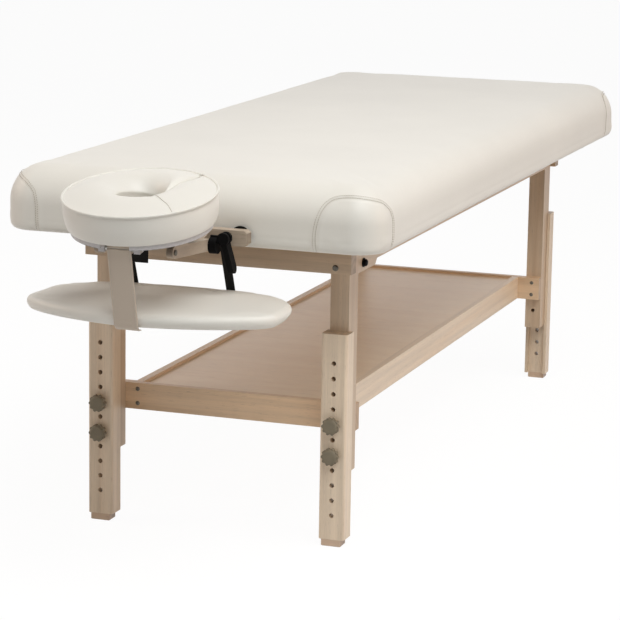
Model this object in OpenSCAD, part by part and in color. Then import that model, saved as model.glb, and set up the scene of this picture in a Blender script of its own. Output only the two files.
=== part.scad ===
// Stationary massage table: a padded top on a wooden frame, four telescoping legs pinned by
// hand knobs, a slatted storage shelf, a plug-in face cradle and a hanging armrest.
// X runs across the table, Y runs from the head end (negative) to the foot end, Z is up.
// All lengths are in millimetres.

/* [Padded top] */
// Length of the padded top
top_l = 1854; // [1700:1:2000]
// Width of the padded top
top_w = 728; // [640:1:820]
// Radius of the top's corners seen from above
top_corner_r = 62; // [45:1:90]
// Thickness of the foam above the deck panel, at the edge of the top
foam_h = 67.5; // [55:0.5:90]
// Rise of the middle of the cushion above its edges
top_crown = 7; // [2:0.5:14]
// Width of the rounded roll along the top's edges
roll_w = 60; // [45:1:75]
// Height of the tuck at the bottom of the cushion's sides
tuck_h = 27; // [15:1:35]
// Depth of the tuck at the bottom of the cushion's sides
tuck_w = 13; // [6:1:18]
// How far each long side pulls in at its middle
side_waist = 3; // [0.5:0.5:6]

/* [Deck under the padding] */
// Thickness of the plywood deck panel
deck_t = 9; // [6:1:14]
// Height of the boards of the deck frame
deck_frame_h = 40; // [34:1:48]
// Thickness of the boards of the deck frame
deck_board_t = 20; // [16:1:26]
// Foam and vinyl between the deck frame and the cushion's bottom edge
wrap_t = 9; // [6:1:14]
// Width of each bearer that rests on the aprons
bearer_w = 30; // [24:1:40]

/* [Legs] */
// Distance from each long side of the top in to the middle of the legs
side_overhang = 133; // [115:1:150]
// Distance from each end of the top in to the outer faces of the lower legs
end_overhang = 158; // [145:1:200]
// Width of the lower legs across the table
lower_leg_w = 50; // [46:1:60]
// Thickness of the lower legs along the table
lower_leg_t = 38; // [34:1:46]
// Length of the lower legs
lower_leg_l = 386; // [380:1:410]
// Radius of the lower legs' upright outer edges
leg_edge_r = 6; // [3:0.5:9]
// Width of the upper legs across the table
upper_leg_w = 36; // [30:1:40]
// Thickness of the upper legs along the table
upper_leg_t = 50; // [44:1:60]
// Length of the upper legs
upper_leg_l = 442; // [430:1:480]
// Depth of the groove in the lower leg that the upper leg sits in
groove_d = 10; // [7:0.5:14]
// Height of the foot block
foot_h = 13; // [10:0.5:18]
// Width of the foot block across the table
foot_w = 38; // [30:1:42]
// Thickness of the foot block along the table
foot_t = 28; // [22:1:31]

/* [Height holes and knobs] */
// Distance from one height hole to the next
hole_pitch = 28.6; // [26:0.1:29]
// Number of height holes in each lower leg
hole_n = 11; // [10:1:12]
// Height of the lowest hole above the end of the lower leg
hole_up = 45.6; // [38:0.1:50]
// Number of the hole, from the bottom and from zero, that takes the lower knob
set_hole = 4; // [4:1:5]
// Holes from the lower knob to the upper knob
knob_step = 2; // [2:1:3]
// Height of the lower knob above the end of the upper leg
stud_up = 41; // [36:1:48]
// Diameter of the height holes
hole_dia = 9; // [8.6:0.1:10]
// Diameter of the knob's threaded stud
stud_dia = 8; // [6:0.5:8]
// Outer diameter of the hand knobs
knob_dia = 33; // [28:1:40]
// Depth of the hand knobs
knob_t = 20; // [14:1:24]

/* [Aprons] */
// Height of the aprons
apron_h = 64; // [56:1:76]
// Thickness of the end aprons
end_apron_t = 28; // [22:1:34]
// How far the end aprons reach past the lower legs
end_apron_over = 5; // [2:1:20]
// Thickness of the side aprons
side_apron_t = 20; // [16:1:26]
// Length of the deeper part of each side apron at the head end
haunch_l = 100; // [60:1:140]
// Extra depth of the side aprons there
haunch_h = 11; // [6:1:16]

/* [Storage shelf] */
// Height of the shelf rails
rail_h = 51; // [44:1:60]
// Thickness of the shelf rails
rail_t = 20; // [16:1:26]
// Height of the shelf rails above the end of the upper legs
rail_up = 71; // [64:1:90]
// Distance of the side rails inside the upper legs' outer sides
rail_inset = 51; // [40:1:64]
// Thickness of the plywood shelf panel
shelf_t = 9; // [6:1:12]
// Depth of the shelf panel's face below the top of the rails
shelf_recess = 6; // [3:1:12]
// Width of the step in the rails that the shelf panel lies on
shelf_ledge = 5; // [4:0.5:8]

/* [Face cradle] */
// Height of the cradle's dowels above the underside of the top
dowel_up = 21; // [18:0.5:23]
// Distance between the two dowels
dowel_span = 216; // [200:1:230]
// Diameter of the dowels
dowel_dia = 22; // [16:0.5:24]
// Length of the dowels behind the crossbar
dowel_l = 150; // [120:1:170]
// Length of the crossbar
crossbar_l = 258; // [250:1:290]
// Height of the crossbar
crossbar_h = 28; // [26:1:36]
// Thickness of the crossbar
crossbar_t = 22; // [18:1:28]
// Distance from the crossbar's rear face to the tilt rod
tilt_reach = 49; // [46:1:58]
// Height of the tilt rod above the dowels
tilt_up = -9.5; // [-11:0.5:-8]
// Length of the cradle's arms between the tilt rod and the front rod
arm_l = 163.5; // [156:0.5:170]
// Slope of the arms at rest, front end high
arm_slope = 4.4; // [3:0.1:6]
// Height of the cradle's arms
arm_h = 21; // [18:0.5:24]
// Thickness of the cradle's arms
arm_t = 12; // [10:1:15]
// Distance between the inner faces of the two arms
arm_gap = 120; // [112:1:126]
// Distance from the arms' front ends forward to the front rod
rod_ahead = 63; // [60:1:66]
// Height of the front rod above the arms' front ends
rod_up = 12.1; // [11:0.1:13]
// Diameter of the tilt rod and the front rod
rod_dia = 10; // [8:0.5:10]

/* [Face pillow] */
// Radius of the face pillow at its piped edge
pillow_r = 131; // [125:1:140]
// Thickness of the face pillow at its side
pillow_h = 53.5; // [40:0.5:60]
// Rise of the pillow's ring above its piped edge
pillow_crown = 13; // [6:1:18]
// Half the width of the face hole
face_hole_rx = 38; // [34:1:46]
// Half the length of the face hole
face_hole_ry = 47; // [42:1:54]
// Slope of the pillow and its plate, table end high
pillow_tilt = 10; // [8:0.5:13]
// Thickness of the plywood plate under the pillow
plate_t = 8; // [6:0.5:10]
// Width of the slit where the ends of the pillow meet
slit_w = 3; // [2:0.5:6]
// Bearing of the slit's outer end, measured from the right-hand side towards the table
slit_bearing = 58; // [30:1:90]
// How far the slit's inner end turns back from that bearing
slit_skew = 75; // [0:1:80]

/* [Armrest] */
// Width of the hanging armrest across the table
armrest_w = 468; // [420:1:520]
// Length of the hanging armrest along the table
armrest_l = 281; // [270:1:290]
// Distance from the centre of the front rod down to the top of the armrest
armrest_drop = 117; // [108:1:130]
// Thickness of the armrest's board
board_t = 9; // [6:1:12]
// Thickness of the armrest's padding
pad_t = 14; // [10:1:20]
// Width of the stitched band at the front of the armrest
band_w = 47; // [36:1:56]
// Width of the two webbing straps at its back
strap_w = 17; // [14:1:25]

/* [Hidden] */

$fn = 48;
// Overrun of every cut past the face that it starts or ends on
cut = 1;
// Running clearance around a shaft, on the radius
run_gap = 0.06;
// Clearance between a soft piece and its neighbour
soft_gap = 0.4;
// Clearance on each side of a leg in its groove
groove_gap = 0.5;

// Heights of the base, built up from the floor
lower_leg_z = foot_h;
low_hole_z = lower_leg_z + hole_up;
low_knob_z = low_hole_z + set_hole * hole_pitch;
high_knob_z = low_knob_z + knob_step * hole_pitch;
upper_leg_z = low_knob_z - stud_up;
under_z = upper_leg_z + upper_leg_l;
apron_z = under_z - apron_h;
rail_z = upper_leg_z + rail_up;
deck_z = under_z + deck_frame_h;
foam_z = deck_z + deck_t;
top_edge_z = foam_z + foam_h;

// Places across and along the table
leg_x = top_w / 2 - side_overhang;
base_y = top_l / 2 - end_overhang;
end_apron_x = leg_x + lower_leg_w / 2 + end_apron_over;
upper_leg_y = base_y - lower_leg_t + groove_d;
upper_leg_in_y = upper_leg_y - upper_leg_t;
upper_leg_out_x = leg_x + upper_leg_w / 2;
rail_in_y = upper_leg_in_y - rail_t;
rail_out_x = upper_leg_out_x - rail_inset;
rail_in_x = rail_out_x - rail_t;
end_y = top_l / 2;

// Padded top
roll_h = foam_h;
frame_x = top_w / 2 - tuck_w - wrap_t;
frame_y = end_y - tuck_w - wrap_t;
deck_corner_r = top_corner_r - tuck_w - wrap_t;
bearer_y = upper_leg_y - upper_leg_t / 2;
bearer_x = upper_leg_out_x - side_apron_t / 2;

// Knobs, studs and fasteners
knob_hub_dia = 20;
knob_hub_t = 6;
knob_lobes = 10;
knob_lobe_dia = 6;
knob_lobe_out_share = 0.8;
knob_lobe_inset = 0.5;
knob_crown_h = 3;
knob_crown_w = 4;
stud_grip = 24;
insert_dia = 12;
insert_l = 15;
bolt_dia = 6;
bolt_head_dia = 11;
bolt_head_h = 3;
bolt_grip = 20;
bolt_rise = 11;
cap_dia = 13;
cap_h = 8;
cap_ring_dia = 17;
cap_ring_h = 2;
cap_back = 28;
cap_rise = 5;
screw_dia = 4;
screw_head_dia = 8.5;
screw_head_h = 2;
screw_l = 42;
screw_gap = 28;
fit_gap = 0.2;

// Face cradle: Y and Z of its rods, measured in the table's own frame
crossbar_y = -end_y - soft_gap - 2.6;
crossbar_z = under_z + dowel_up;
crossbar_chamfer = 5;
socket_wall = 2.5;
socket_flange_w = 5;
socket_flange_t = 2.2;
socket_l = 138;
socket_bearer_back = 92;
tilt_y = crossbar_y - tilt_reach;
tilt_z = crossbar_z + tilt_up;
ear_t = 14;
ear_gap = 0.6;
arm_end_y = tilt_y - arm_l * cos(arm_slope);
arm_end_z = tilt_z + arm_l * sin(arm_slope);
front_y = arm_end_y - rod_ahead;
front_z = arm_end_z + rod_up;
arm_x = arm_gap / 2;
arm_bolt_dia = 6;
arm_bolt_head_dia = 10;
arm_bolt_head_h = 2.5;
// Block on each arm that carries the plate: how far it starts behind the front rod, and its length
block_near = 60;
block_l = 60;
rod_nut_dia = 18;
rod_nut_h = 6;
cam_washer_dia = 30;
cam_washer_h = 14;
lever_head_dia = 22;
lever_gap = 0.6;
lever_l = 70;
lever_w = 19;
lever_t = 10;
lever_back_slope = 22;
lever_out_slope = 6;
lever_pin_rise = 13;
lever_pin_dia = 5;
lever_tongue_w = 6;
lever_tongue_h = 9;
lever_tongue_gap = 0.4;

// Plate and pillow: a tilted plane that meets the top of the arms above the front rod
plate_inset = 9;
plate_r = pillow_r - plate_inset;
// Height of the plate's underside above the centre of the front rod
plate_rise = 5.7;
pillow_taper = 4;
pillow_base_r = pillow_r - pillow_taper;
pillow_side_bulge = 2;
plate_hole_extra = 6;
plate_slot_w = 26;
plate_notch_gap = 3;
plate_notch_back = 12;
rod_block_w = 16;
rod_block_t = 11;
rod_block_h = 11.2;
// Distance from the front rod back to the centre of the plate
plate_back = 94;
piping_dia = 5;
piping_out = 1.5;
pillow_steps = 40;
// Below one, the crest of the pillow lies nearer the hole than the rim
pillow_crest_share = 0.7;
pillow_side_share = [0, 0.2, 0.45, 0.7, 0.9, 1];
pillow_top_share = [0.97, 0.86, 0.7, 0.5, 0.3, 0.14, 0.04];

// Armrest
armrest_z = front_z - armrest_drop - board_t - pad_t;
armrest_t = board_t + pad_t;
armrest_edge_r = armrest_t / 2;
armrest_mid_z = armrest_z + armrest_edge_r;
armrest_front_power = 1.6;
armrest_back_power = 3.4;
// Where along its depth, from the front, the armrest is widest
armrest_front_share = 0.36;
armrest_points = 72;
pad_crown = 3;
pad_crown_shares = [0.75, 0.4];
armrest_edge_steps = 3;
board_margin = 14;
band_t = 2.4;
// Distance from the centre of the front rod back to the armrest's front edge
band_back = 27;
// Room between the band's hook and the armrest's front edge, used up as the cradle tilts
band_slack = 3.4;
hook_join = 1;
strap_t = 1.6;
strap_gap = 0.5;
strap_right_x = 80;
strap_left_x = -106;
strap_tail_x = -74;
strap_tail_l = 43;
strap_tail_w = 34;
strap_end_l = 16;
strap_end_back = 2;
// Depth by which the parts of a band run into one another
weld = 0.2;
armrest_front_y = front_y + band_back;
armrest_y = armrest_front_y + armrest_l / 2;
armrest_wide_y = armrest_front_y + armrest_l * armrest_front_share;

// The whole model is moved so that its origin lies under the middle of its outline
pillow_mid_y = front_y + plate_back * cos(pillow_tilt);
head_reach = -pillow_mid_y + (plate_t + pillow_h) * sin(pillow_tilt)
    + (pillow_r + piping_out) * cos(pillow_tilt) + piping_dia / 2;
mid_y = (head_reach - end_y) / 2;

module place() {
    translate([0, mid_y, 0]) children();
}

// A block given by its lowest corner and its far corner
module block(low, high) {
    translate(low) cube(high - low);
}

// A round bar along X, Y or Z from a starting point
module bar_x(start, dia, len) {
    translate(start) rotate([0, 90, 0]) cylinder(d = dia, h = len);
}

module bar_y(start, dia, len) {
    translate(start) rotate([-90, 0, 0]) cylinder(d = dia, h = len);
}

// An outline in Y and Z, made into a slab of width w centred on x
module across(x, w) {
    translate([x - w / 2, 0, 0]) rotate([90, 0, 90]) linear_extrude(w) children();
}

// Children at one corner: side is -1 left or 1 right, end is -1 head or 1 foot.
// They are drawn for the right foot corner.
module corner(side, end) {
    place() mirror([side < 0 ? 1 : 0, 0, 0]) mirror([0, end < 0 ? 1 : 0, 0]) children();
}

/* Padded top */

// Signed power, which gives the sections below their rounded corners
function spow(v, p) = sign(v) * pow(abs(v), p);

// Point of a rounded outline with half sizes hx and hy and corner radius r, at station i of n.
// The stations crowd into the corners, where the outline turns.
corner_steps = 7;
side_steps = 5;
function arc_points(cx, cy, r, from) = [
    for (i = [0:corner_steps]) let (a = from + 90 * i / corner_steps)
        [cx + r * cos(a), cy + r * sin(a)]
];
function edge_points(a, b) = [
    for (i = [1:side_steps]) a + (b - a) * i / (side_steps + 1)
];
function outline(hx, hy, r) = let (
        q1 = arc_points(hx - r, hy - r, r, 0),
        q2 = arc_points(r - hx, hy - r, r, 90),
        q3 = arc_points(r - hx, r - hy, r, 180),
        q4 = arc_points(hx - r, r - hy, r, 270)
    ) concat(q1, edge_points(q1[corner_steps], q2[0]), q2, edge_points(q2[corner_steps], q3[0]),
        q3, edge_points(q3[corner_steps], q4[0]), q4, edge_points(q4[corner_steps], q1[0]));

// How much a point of the side is drawn in: most at the middle of a side, none at the corners
function waisted(p, hx, hy, pull) = [
    p[0] - sign(p[0]) * pull * max(0, 1 - pow(p[1] / (hy - top_corner_r), 2)) * pow(abs(p[0]) / hx, 4),
    p[1] - sign(p[1]) * pull * max(0, 1 - pow(p[0] / (hx - top_corner_r), 2)) * pow(abs(p[1]) / hy, 4)
];

// Rings of the cushion: [inset from the widest outline, height]
tuck_angles = [0, 30, 60, 90];
roll_angles = [15, 35, 55, 72, 90];
crown_shares = [0.82, 0.6, 0.35, 0.15];
function cushion_rings() = concat(
    [for (a = tuck_angles) [tuck_w * (1 - sin(a)), under_z + tuck_h * (1 - cos(a))]],
    [for (a = roll_angles) [roll_w * (1 - cos(a)), top_edge_z - roll_h + roll_h * sin(a)]]
);

function ring_points(inset, z) = [
    for (p = outline(top_w / 2 - inset, end_y - inset, max(top_corner_r - inset, top_corner_r / 4)))
        let (q = waisted(p, top_w / 2, end_y, side_waist)) [q[0], q[1], z]
];

function crown_points(share) = [
    for (p = outline((top_w / 2 - roll_w) * share, end_y - roll_w - (1 - share) * (top_w / 2 - roll_w),
            top_corner_r / 4 + (1 - share) * top_corner_r / 4))
        [p[0], p[1], top_edge_z + top_crown * (1 - share * share)]
];

// Faces between successive rings of n points, and fans at both ends
function band_faces(rows, n) = [
    for (r = [0:rows - 2]) for (i = [0:n - 1]) for (half = [0:1])
        let (a = r * n + i, b = r * n + (i + 1) % n, c = a + n, d = b + n)
            half == 0 ? [a, c, d] : [a, d, b]
];
function fan_faces(start, n, hub, up) = [
    for (i = [0:n - 1]) let (a = start + i, b = start + (i + 1) % n) up ? [a, hub, b] : [b, hub, a]
];

module skin(rings, low_hub, high_hub) {
    n = len(rings[0]);
    rows = len(rings);
    points = [for (ring = rings) for (p = ring) p];
    polyhedron(
        points = concat(points, [low_hub, high_hub]),
        faces = concat(
            band_faces(rows, n),
            fan_faces(0, n, len(points), false),
            fan_faces((rows - 1) * n, n, len(points) + 1, true)
        )
    );
}

module cushion_top() {
    color("ivory") place() difference() {
        skin(
            concat(
                [for (r = cushion_rings()) ring_points(r[0], r[1])],
                [for (s = crown_shares) crown_points(s)]
            ),
            [0, 0, under_z],
            [0, 0, top_edge_z + top_crown]
        );
        deck_slab(under_z - cut, foam_z);
        for (side = [-1, 1])
            bar_y([side * dowel_span / 2, -end_y - tuck_w, crossbar_z],
                dowel_dia + 2 * socket_wall + 2 * soft_gap, tuck_w + wrap_t + end_y - frame_y);
    }
}

/* Deck */

// A slab with the deck's outline, whose corners are rounded like the padded top above them
module deck_slab(from_z, to_z) {
    corner_x = frame_x - deck_corner_r;
    corner_y = frame_y - deck_corner_r;
    translate([0, 0, from_z]) linear_extrude(to_z - from_z)
        polygon(concat(
            arc_points(corner_x, corner_y, deck_corner_r, 0),
            arc_points(-corner_x, corner_y, deck_corner_r, 90),
            arc_points(-corner_x, -corner_y, deck_corner_r, 180),
            arc_points(corner_x, -corner_y, deck_corner_r, 270)
        ));
}

module deck_panel() {
    color("burlywood") place() deck_slab(deck_z, foam_z);
}

// Four boards round the edge. The end boards run the full width.
module deck_frame() {
    inner_y = frame_y - deck_board_t;
    color("tan") place() {
        for (side = [-1, 1]) mirror([side < 0 ? 1 : 0, 0, 0]) intersection() {
            block(
                [frame_x - deck_board_t, fit_gap - inner_y, under_z - cut],
                [frame_x + cut, inner_y - fit_gap, deck_z + cut]
            );
            deck_slab(under_z, deck_z);
        }
        for (end = [-1, 1]) mirror([0, end < 0 ? 1 : 0, 0]) difference() {
            intersection() {
                block(
                    [-frame_x - cut, inner_y, under_z - cut],
                    [frame_x + cut, frame_y + cut, deck_z + cut]
                );
                deck_slab(under_z, deck_z);
            }
            if (end < 0) for (side = [-1, 1])
                bar_y([side * dowel_span / 2, inner_y - cut, crossbar_z],
                    dowel_dia + 2 * socket_wall, deck_board_t + 2 * cut);
        }
    }
}

// Cross bearers over the legs and the middle, one that carries the inner ends of the dowel
// sockets, and long bearers over the side aprons
module deck_bearers() {
    inner_x = frame_x - deck_board_t - fit_gap;
    socket_bearer_y = socket_bearer_back - end_y;
    color("tan") place() {
        for (y = [-bearer_y, 0, bearer_y])
            block([-inner_x, y - bearer_w / 2, under_z], [inner_x, y + bearer_w / 2, deck_z]);
        for (side = [-1, 1]) for (end = [-1, 1])
            mirror([side < 0 ? 1 : 0, 0, 0]) mirror([0, end < 0 ? 1 : 0, 0])
                block(
                    [bearer_x - side_apron_t / 2, bearer_w / 2 + fit_gap, under_z],
                    [bearer_x + side_apron_t / 2, bearer_y - bearer_w / 2 - fit_gap, deck_z]
                );
        difference() {
            block([-inner_x, socket_bearer_y, under_z], [inner_x, socket_bearer_y + bearer_w, deck_z]);
            for (side = [-1, 1])
                bar_y([side * dowel_span / 2, socket_bearer_y - cut, crossbar_z],
                    dowel_dia + 2 * socket_wall, bearer_w + 2 * cut);
        }
    }
}

/* Aprons */

module end_apron(end) {
    place() mirror([0, end < 0 ? 1 : 0, 0]) difference() {
        block([-end_apron_x, upper_leg_y, apron_z], [end_apron_x, upper_leg_y + end_apron_t, under_z]);
        for (side = [-1, 1]) for (rise = [bolt_rise, apron_h - bolt_rise])
            bar_y([side * leg_x, upper_leg_y - cut, apron_z + rise], bolt_dia, end_apron_t + 2 * cut);
    }
}

module apron_head() { color("burlywood") end_apron(-1); }

module apron_foot() { color("burlywood") end_apron(1); }

// A side apron runs between the inner faces of the legs. Its head end is deeper.
module side_apron(side) {
    y = upper_leg_in_y;
    place() mirror([side < 0 ? 1 : 0, 0, 0]) difference() {
        translate([upper_leg_out_x - side_apron_t, 0, 0]) rotate([90, 0, 90])
            linear_extrude(side_apron_t)
                polygon([
                    [-y, apron_z - haunch_h],
                    [-y + haunch_l, apron_z - haunch_h],
                    [-y + haunch_l + haunch_h, apron_z],
                    [y, apron_z],
                    [y, under_z],
                    [-y, under_z]
                ]);
        bar_x([upper_leg_out_x - side_apron_t - cut, -y + cap_back, apron_z + cap_rise],
            bolt_dia, side_apron_t + 2 * cut);
    }
}

module apron_left() { color("burlywood") side_apron(-1); }

module apron_right() { color("burlywood") side_apron(1); }

// Bolts that hold the end aprons to the upper legs
module apron_bolts() {
    color("dimgray") for (side = [-1, 1]) for (end = [-1, 1]) corner(side, end)
        for (rise = [bolt_rise, apron_h - bolt_rise])
            translate([leg_x, upper_leg_y + end_apron_t, apron_z + rise]) rotate([-90, 0, 0]) {
                translate([0, 0, -end_apron_t - bolt_grip])
                    cylinder(d = bolt_dia, h = end_apron_t + bolt_grip);
                rotate_extrude() polygon([
                    [0, 0],
                    [bolt_head_dia / 2, 0],
                    [bolt_head_dia / 2, bolt_head_h / 3],
                    [bolt_head_dia / 3, bolt_head_h],
                    [0, bolt_head_h]
                ]);
            }
}

// Round plastic caps on a steel ring, one on each side apron near the head end
module leg_bolt_caps() {
    color("black") for (side = [-1, 1]) corner(side, -1)
        translate([upper_leg_out_x, upper_leg_in_y - cap_back, apron_z + cap_rise]) rotate([0, 90, 0]) {
            translate([0, 0, -side_apron_t / 2]) cylinder(d = bolt_dia, h = side_apron_t / 2);
            rotate_extrude() polygon([
                [0, 0],
                [cap_ring_dia / 2, 0],
                [cap_ring_dia / 2, cap_ring_h],
                [cap_dia / 2, cap_ring_h],
                [cap_dia / 2, cap_h - cap_ring_h],
                [cap_dia / 3, cap_h],
                [0, cap_h]
            ]);
        }
}

/* Legs */

module upper_leg() {
    difference() {
        block(
            [leg_x - upper_leg_w / 2, upper_leg_in_y, upper_leg_z],
            [upper_leg_out_x, upper_leg_y, under_z]
        );
        for (z = [low_knob_z, high_knob_z]) {
            bar_y([leg_x, upper_leg_in_y - cut, z], hole_dia, upper_leg_t + 2 * cut);
            bar_y([leg_x, upper_leg_y - insert_l, z], insert_dia, insert_l + cut);
        }
        for (rise = [bolt_rise, apron_h - bolt_rise])
            bar_y([leg_x, upper_leg_y - bolt_grip, apron_z + rise], bolt_dia, bolt_grip + cut);
        for (z = [-1, 1])
            bar_y([leg_x, upper_leg_in_y - cut, rail_z + rail_h / 2 + z * screw_gap / 2],
                screw_dia, screw_l - rail_t + cut);
    }
}

module upper_leg_head_left() { color("burlywood") corner(-1, -1) upper_leg(); }

module upper_leg_head_right() { color("burlywood") corner(1, -1) upper_leg(); }

module upper_leg_foot_left() { color("burlywood") corner(-1, 1) upper_leg(); }

module upper_leg_foot_right() { color("burlywood") corner(1, 1) upper_leg(); }

// The plan of a lower leg: rounded outer edges, and a groove that holds the upper leg
module lower_leg_plan() {
    inner_y = base_y - lower_leg_t;
    half_w = lower_leg_w / 2;
    difference() {
        union() {
            translate([leg_x - half_w, inner_y]) square([lower_leg_w, lower_leg_t - leg_edge_r]);
            translate([leg_x - half_w + leg_edge_r, inner_y])
                square([lower_leg_w - 2 * leg_edge_r, lower_leg_t]);
            for (side = [-1, 1])
                translate([leg_x + side * (half_w - leg_edge_r), base_y - leg_edge_r])
                    circle(r = leg_edge_r);
        }
        translate([leg_x - upper_leg_w / 2 - groove_gap, inner_y - cut])
            square([upper_leg_w + 2 * groove_gap, groove_d + cut]);
    }
}

module lower_leg() {
    difference() {
        translate([0, 0, lower_leg_z]) linear_extrude(lower_leg_l) lower_leg_plan();
        for (i = [0:hole_n - 1])
            bar_y([leg_x, upper_leg_y - cut, low_hole_z + i * hole_pitch], hole_dia, lower_leg_t + 2 * cut);
    }
}

module lower_leg_head_left() { color("wheat") corner(-1, -1) lower_leg(); }

module lower_leg_head_right() { color("wheat") corner(1, -1) lower_leg(); }

module lower_leg_foot_left() { color("wheat") corner(-1, 1) lower_leg(); }

module lower_leg_foot_right() { color("wheat") corner(1, 1) lower_leg(); }

// Foot block under a lower leg, with a small chamfer around the floor face
foot_chamfer = 1.5;
module foot() {
    y = base_y - (lower_leg_t - groove_d) / 2;
    hull() {
        block(
            [leg_x - foot_w / 2, y - foot_t / 2, foot_chamfer],
            [leg_x + foot_w / 2, y + foot_t / 2, foot_h]
        );
        block(
            [leg_x - foot_w / 2 + foot_chamfer, y - foot_t / 2 + foot_chamfer, 0],
            [leg_x + foot_w / 2 - foot_chamfer, y + foot_t / 2 - foot_chamfer, foot_h]
        );
    }
}

module foot_head_left() { color("gray") corner(-1, -1) foot(); }

module foot_head_right() { color("gray") corner(1, -1) foot(); }

module foot_foot_left() { color("gray") corner(-1, 1) foot(); }

module foot_foot_right() { color("gray") corner(1, 1) foot(); }

/* Knobs */

// A hand knob: a lobed grip with a rounded rim, on a hub that bears on the leg
module knob(z) {
    grip_t = knob_t - knob_hub_t;
    core_dia = knob_dia - knob_lobe_dia * knob_lobe_out_share;
    translate([leg_x, base_y + fit_gap, z]) rotate([-90, 0, 0]) difference() {
        union() {
            cylinder(d = knob_hub_dia, h = knob_hub_t);
            translate([0, 0, knob_hub_t]) rotate_extrude() polygon([
                [0, 0],
                [core_dia / 2, 0],
                [core_dia / 2, grip_t - knob_crown_h],
                [core_dia / 2 - knob_crown_w / 3, grip_t - knob_crown_h / 3],
                [core_dia / 2 - knob_crown_w, grip_t],
                [0, grip_t]
            ]);
            for (i = [0:knob_lobes - 1]) rotate(i * 360 / knob_lobes)
                translate([(knob_dia - knob_lobe_dia) / 2, 0, knob_hub_t + knob_lobe_inset])
                    cylinder(d = knob_lobe_dia, h = grip_t - knob_crown_h - 2 * knob_lobe_inset);
        }
        translate([0, 0, -cut]) cylinder(d = stud_dia, h = knob_hub_t + cut);
    }
}

// The steel stud goes from the knob through a height hole into the threaded insert
module stud(z) {
    start = base_y + fit_gap + knob_hub_t;
    bar_y([leg_x, upper_leg_y - stud_grip, z], stud_dia, start - upper_leg_y + stud_grip);
}

module knob_head_left_low() { color("dimgray") corner(-1, -1) knob(low_knob_z); }

module knob_head_left_high() { color("dimgray") corner(-1, -1) knob(high_knob_z); }

module knob_head_right_low() { color("dimgray") corner(1, -1) knob(low_knob_z); }

module knob_head_right_high() { color("dimgray") corner(1, -1) knob(high_knob_z); }

module knob_foot_left_low() { color("dimgray") corner(-1, 1) knob(low_knob_z); }

module knob_foot_left_high() { color("dimgray") corner(-1, 1) knob(high_knob_z); }

module knob_foot_right_low() { color("dimgray") corner(1, 1) knob(low_knob_z); }

module knob_foot_right_high() { color("dimgray") corner(1, 1) knob(high_knob_z); }

module stud_head_left_low() { color("silver") corner(-1, -1) stud(low_knob_z); }

module stud_head_left_high() { color("silver") corner(-1, -1) stud(high_knob_z); }

module stud_head_right_low() { color("silver") corner(1, -1) stud(low_knob_z); }

module stud_head_right_high() { color("silver") corner(1, -1) stud(high_knob_z); }

module stud_foot_left_low() { color("silver") corner(-1, 1) stud(low_knob_z); }

module stud_foot_left_high() { color("silver") corner(-1, 1) stud(high_knob_z); }

module stud_foot_right_low() { color("silver") corner(1, 1) stud(low_knob_z); }

module stud_foot_right_high() { color("silver") corner(1, 1) stud(high_knob_z); }

// Threaded inserts in the upper legs, two to a leg
module threaded_inserts() {
    color("silver") for (side = [-1, 1]) for (end = [-1, 1]) corner(side, end)
        for (z = [low_knob_z, high_knob_z])
            translate([leg_x, upper_leg_y - insert_l, z]) rotate([-90, 0, 0]) difference() {
                cylinder(d = insert_dia, h = insert_l);
                translate([0, 0, -cut]) cylinder(d = stud_dia + 2 * run_gap, h = insert_l + 2 * cut);
            }
}

/* Storage shelf */

shelf_top_z = rail_z + rail_h - shelf_recess;
shelf_x = rail_in_x + shelf_ledge;
shelf_y = rail_in_y + shelf_ledge;

module shelf_panel() {
    color("tan") place() block(
        [fit_gap - shelf_x, fit_gap - shelf_y, shelf_top_z - shelf_t],
        [shelf_x - fit_gap, shelf_y - fit_gap, shelf_top_z]
    );
}

// The step around the inside of the rails that the edge of the shelf panel lies on
module shelf_step() {
    block([-shelf_x, -shelf_y, shelf_top_z - shelf_t], [shelf_x, shelf_y, rail_z + rail_h + cut]);
}

module end_rail(end) {
    place() mirror([0, end < 0 ? 1 : 0, 0]) difference() {
        block([-upper_leg_out_x, rail_in_y, rail_z], [upper_leg_out_x, upper_leg_in_y, rail_z + rail_h]);
        shelf_step();
        for (side = [-1, 1]) for (z = [-1, 1]) {
            bar_y([side * leg_x, rail_in_y - cut, rail_z + rail_h / 2 + z * screw_gap / 2],
                screw_dia, rail_t + 2 * cut);
            bar_y(
                [side * (rail_in_x + rail_t / 2), rail_in_y - cut, rail_z + rail_h / 2 + z * screw_gap / 2],
                screw_dia,
                rail_t + 2 * cut
            );
        }
    }
}

module shelf_rail_head() { color("burlywood") end_rail(-1); }

module shelf_rail_foot() { color("burlywood") end_rail(1); }

module side_rail(side) {
    place() mirror([side < 0 ? 1 : 0, 0, 0]) difference() {
        block([rail_in_x, -rail_in_y, rail_z], [rail_out_x, rail_in_y, rail_z + rail_h]);
        shelf_step();
        for (end = [-1, 1]) for (z = [-1, 1])
            bar_y([rail_in_x + rail_t / 2, end < 0 ? -rail_in_y - cut : rail_in_y - screw_l + rail_t,
                rail_z + rail_h / 2 + z * screw_gap / 2], screw_dia, screw_l - rail_t + cut);
    }
}

module shelf_rail_left() { color("burlywood") side_rail(-1); }

module shelf_rail_right() { color("burlywood") side_rail(1); }

// A screw along Y whose head is at the origin and whose point is at +Y
module screw() {
    rotate([-90, 0, 0]) rotate_extrude() polygon([
        [0, -screw_head_h],
        [screw_head_dia / 4, -screw_head_h],
        [screw_head_dia / 2, 0],
        [screw_dia / 2, 0],
        [screw_dia / 2, screw_l - screw_dia],
        [0, screw_l - screw_dia]
    ]);
}

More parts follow.
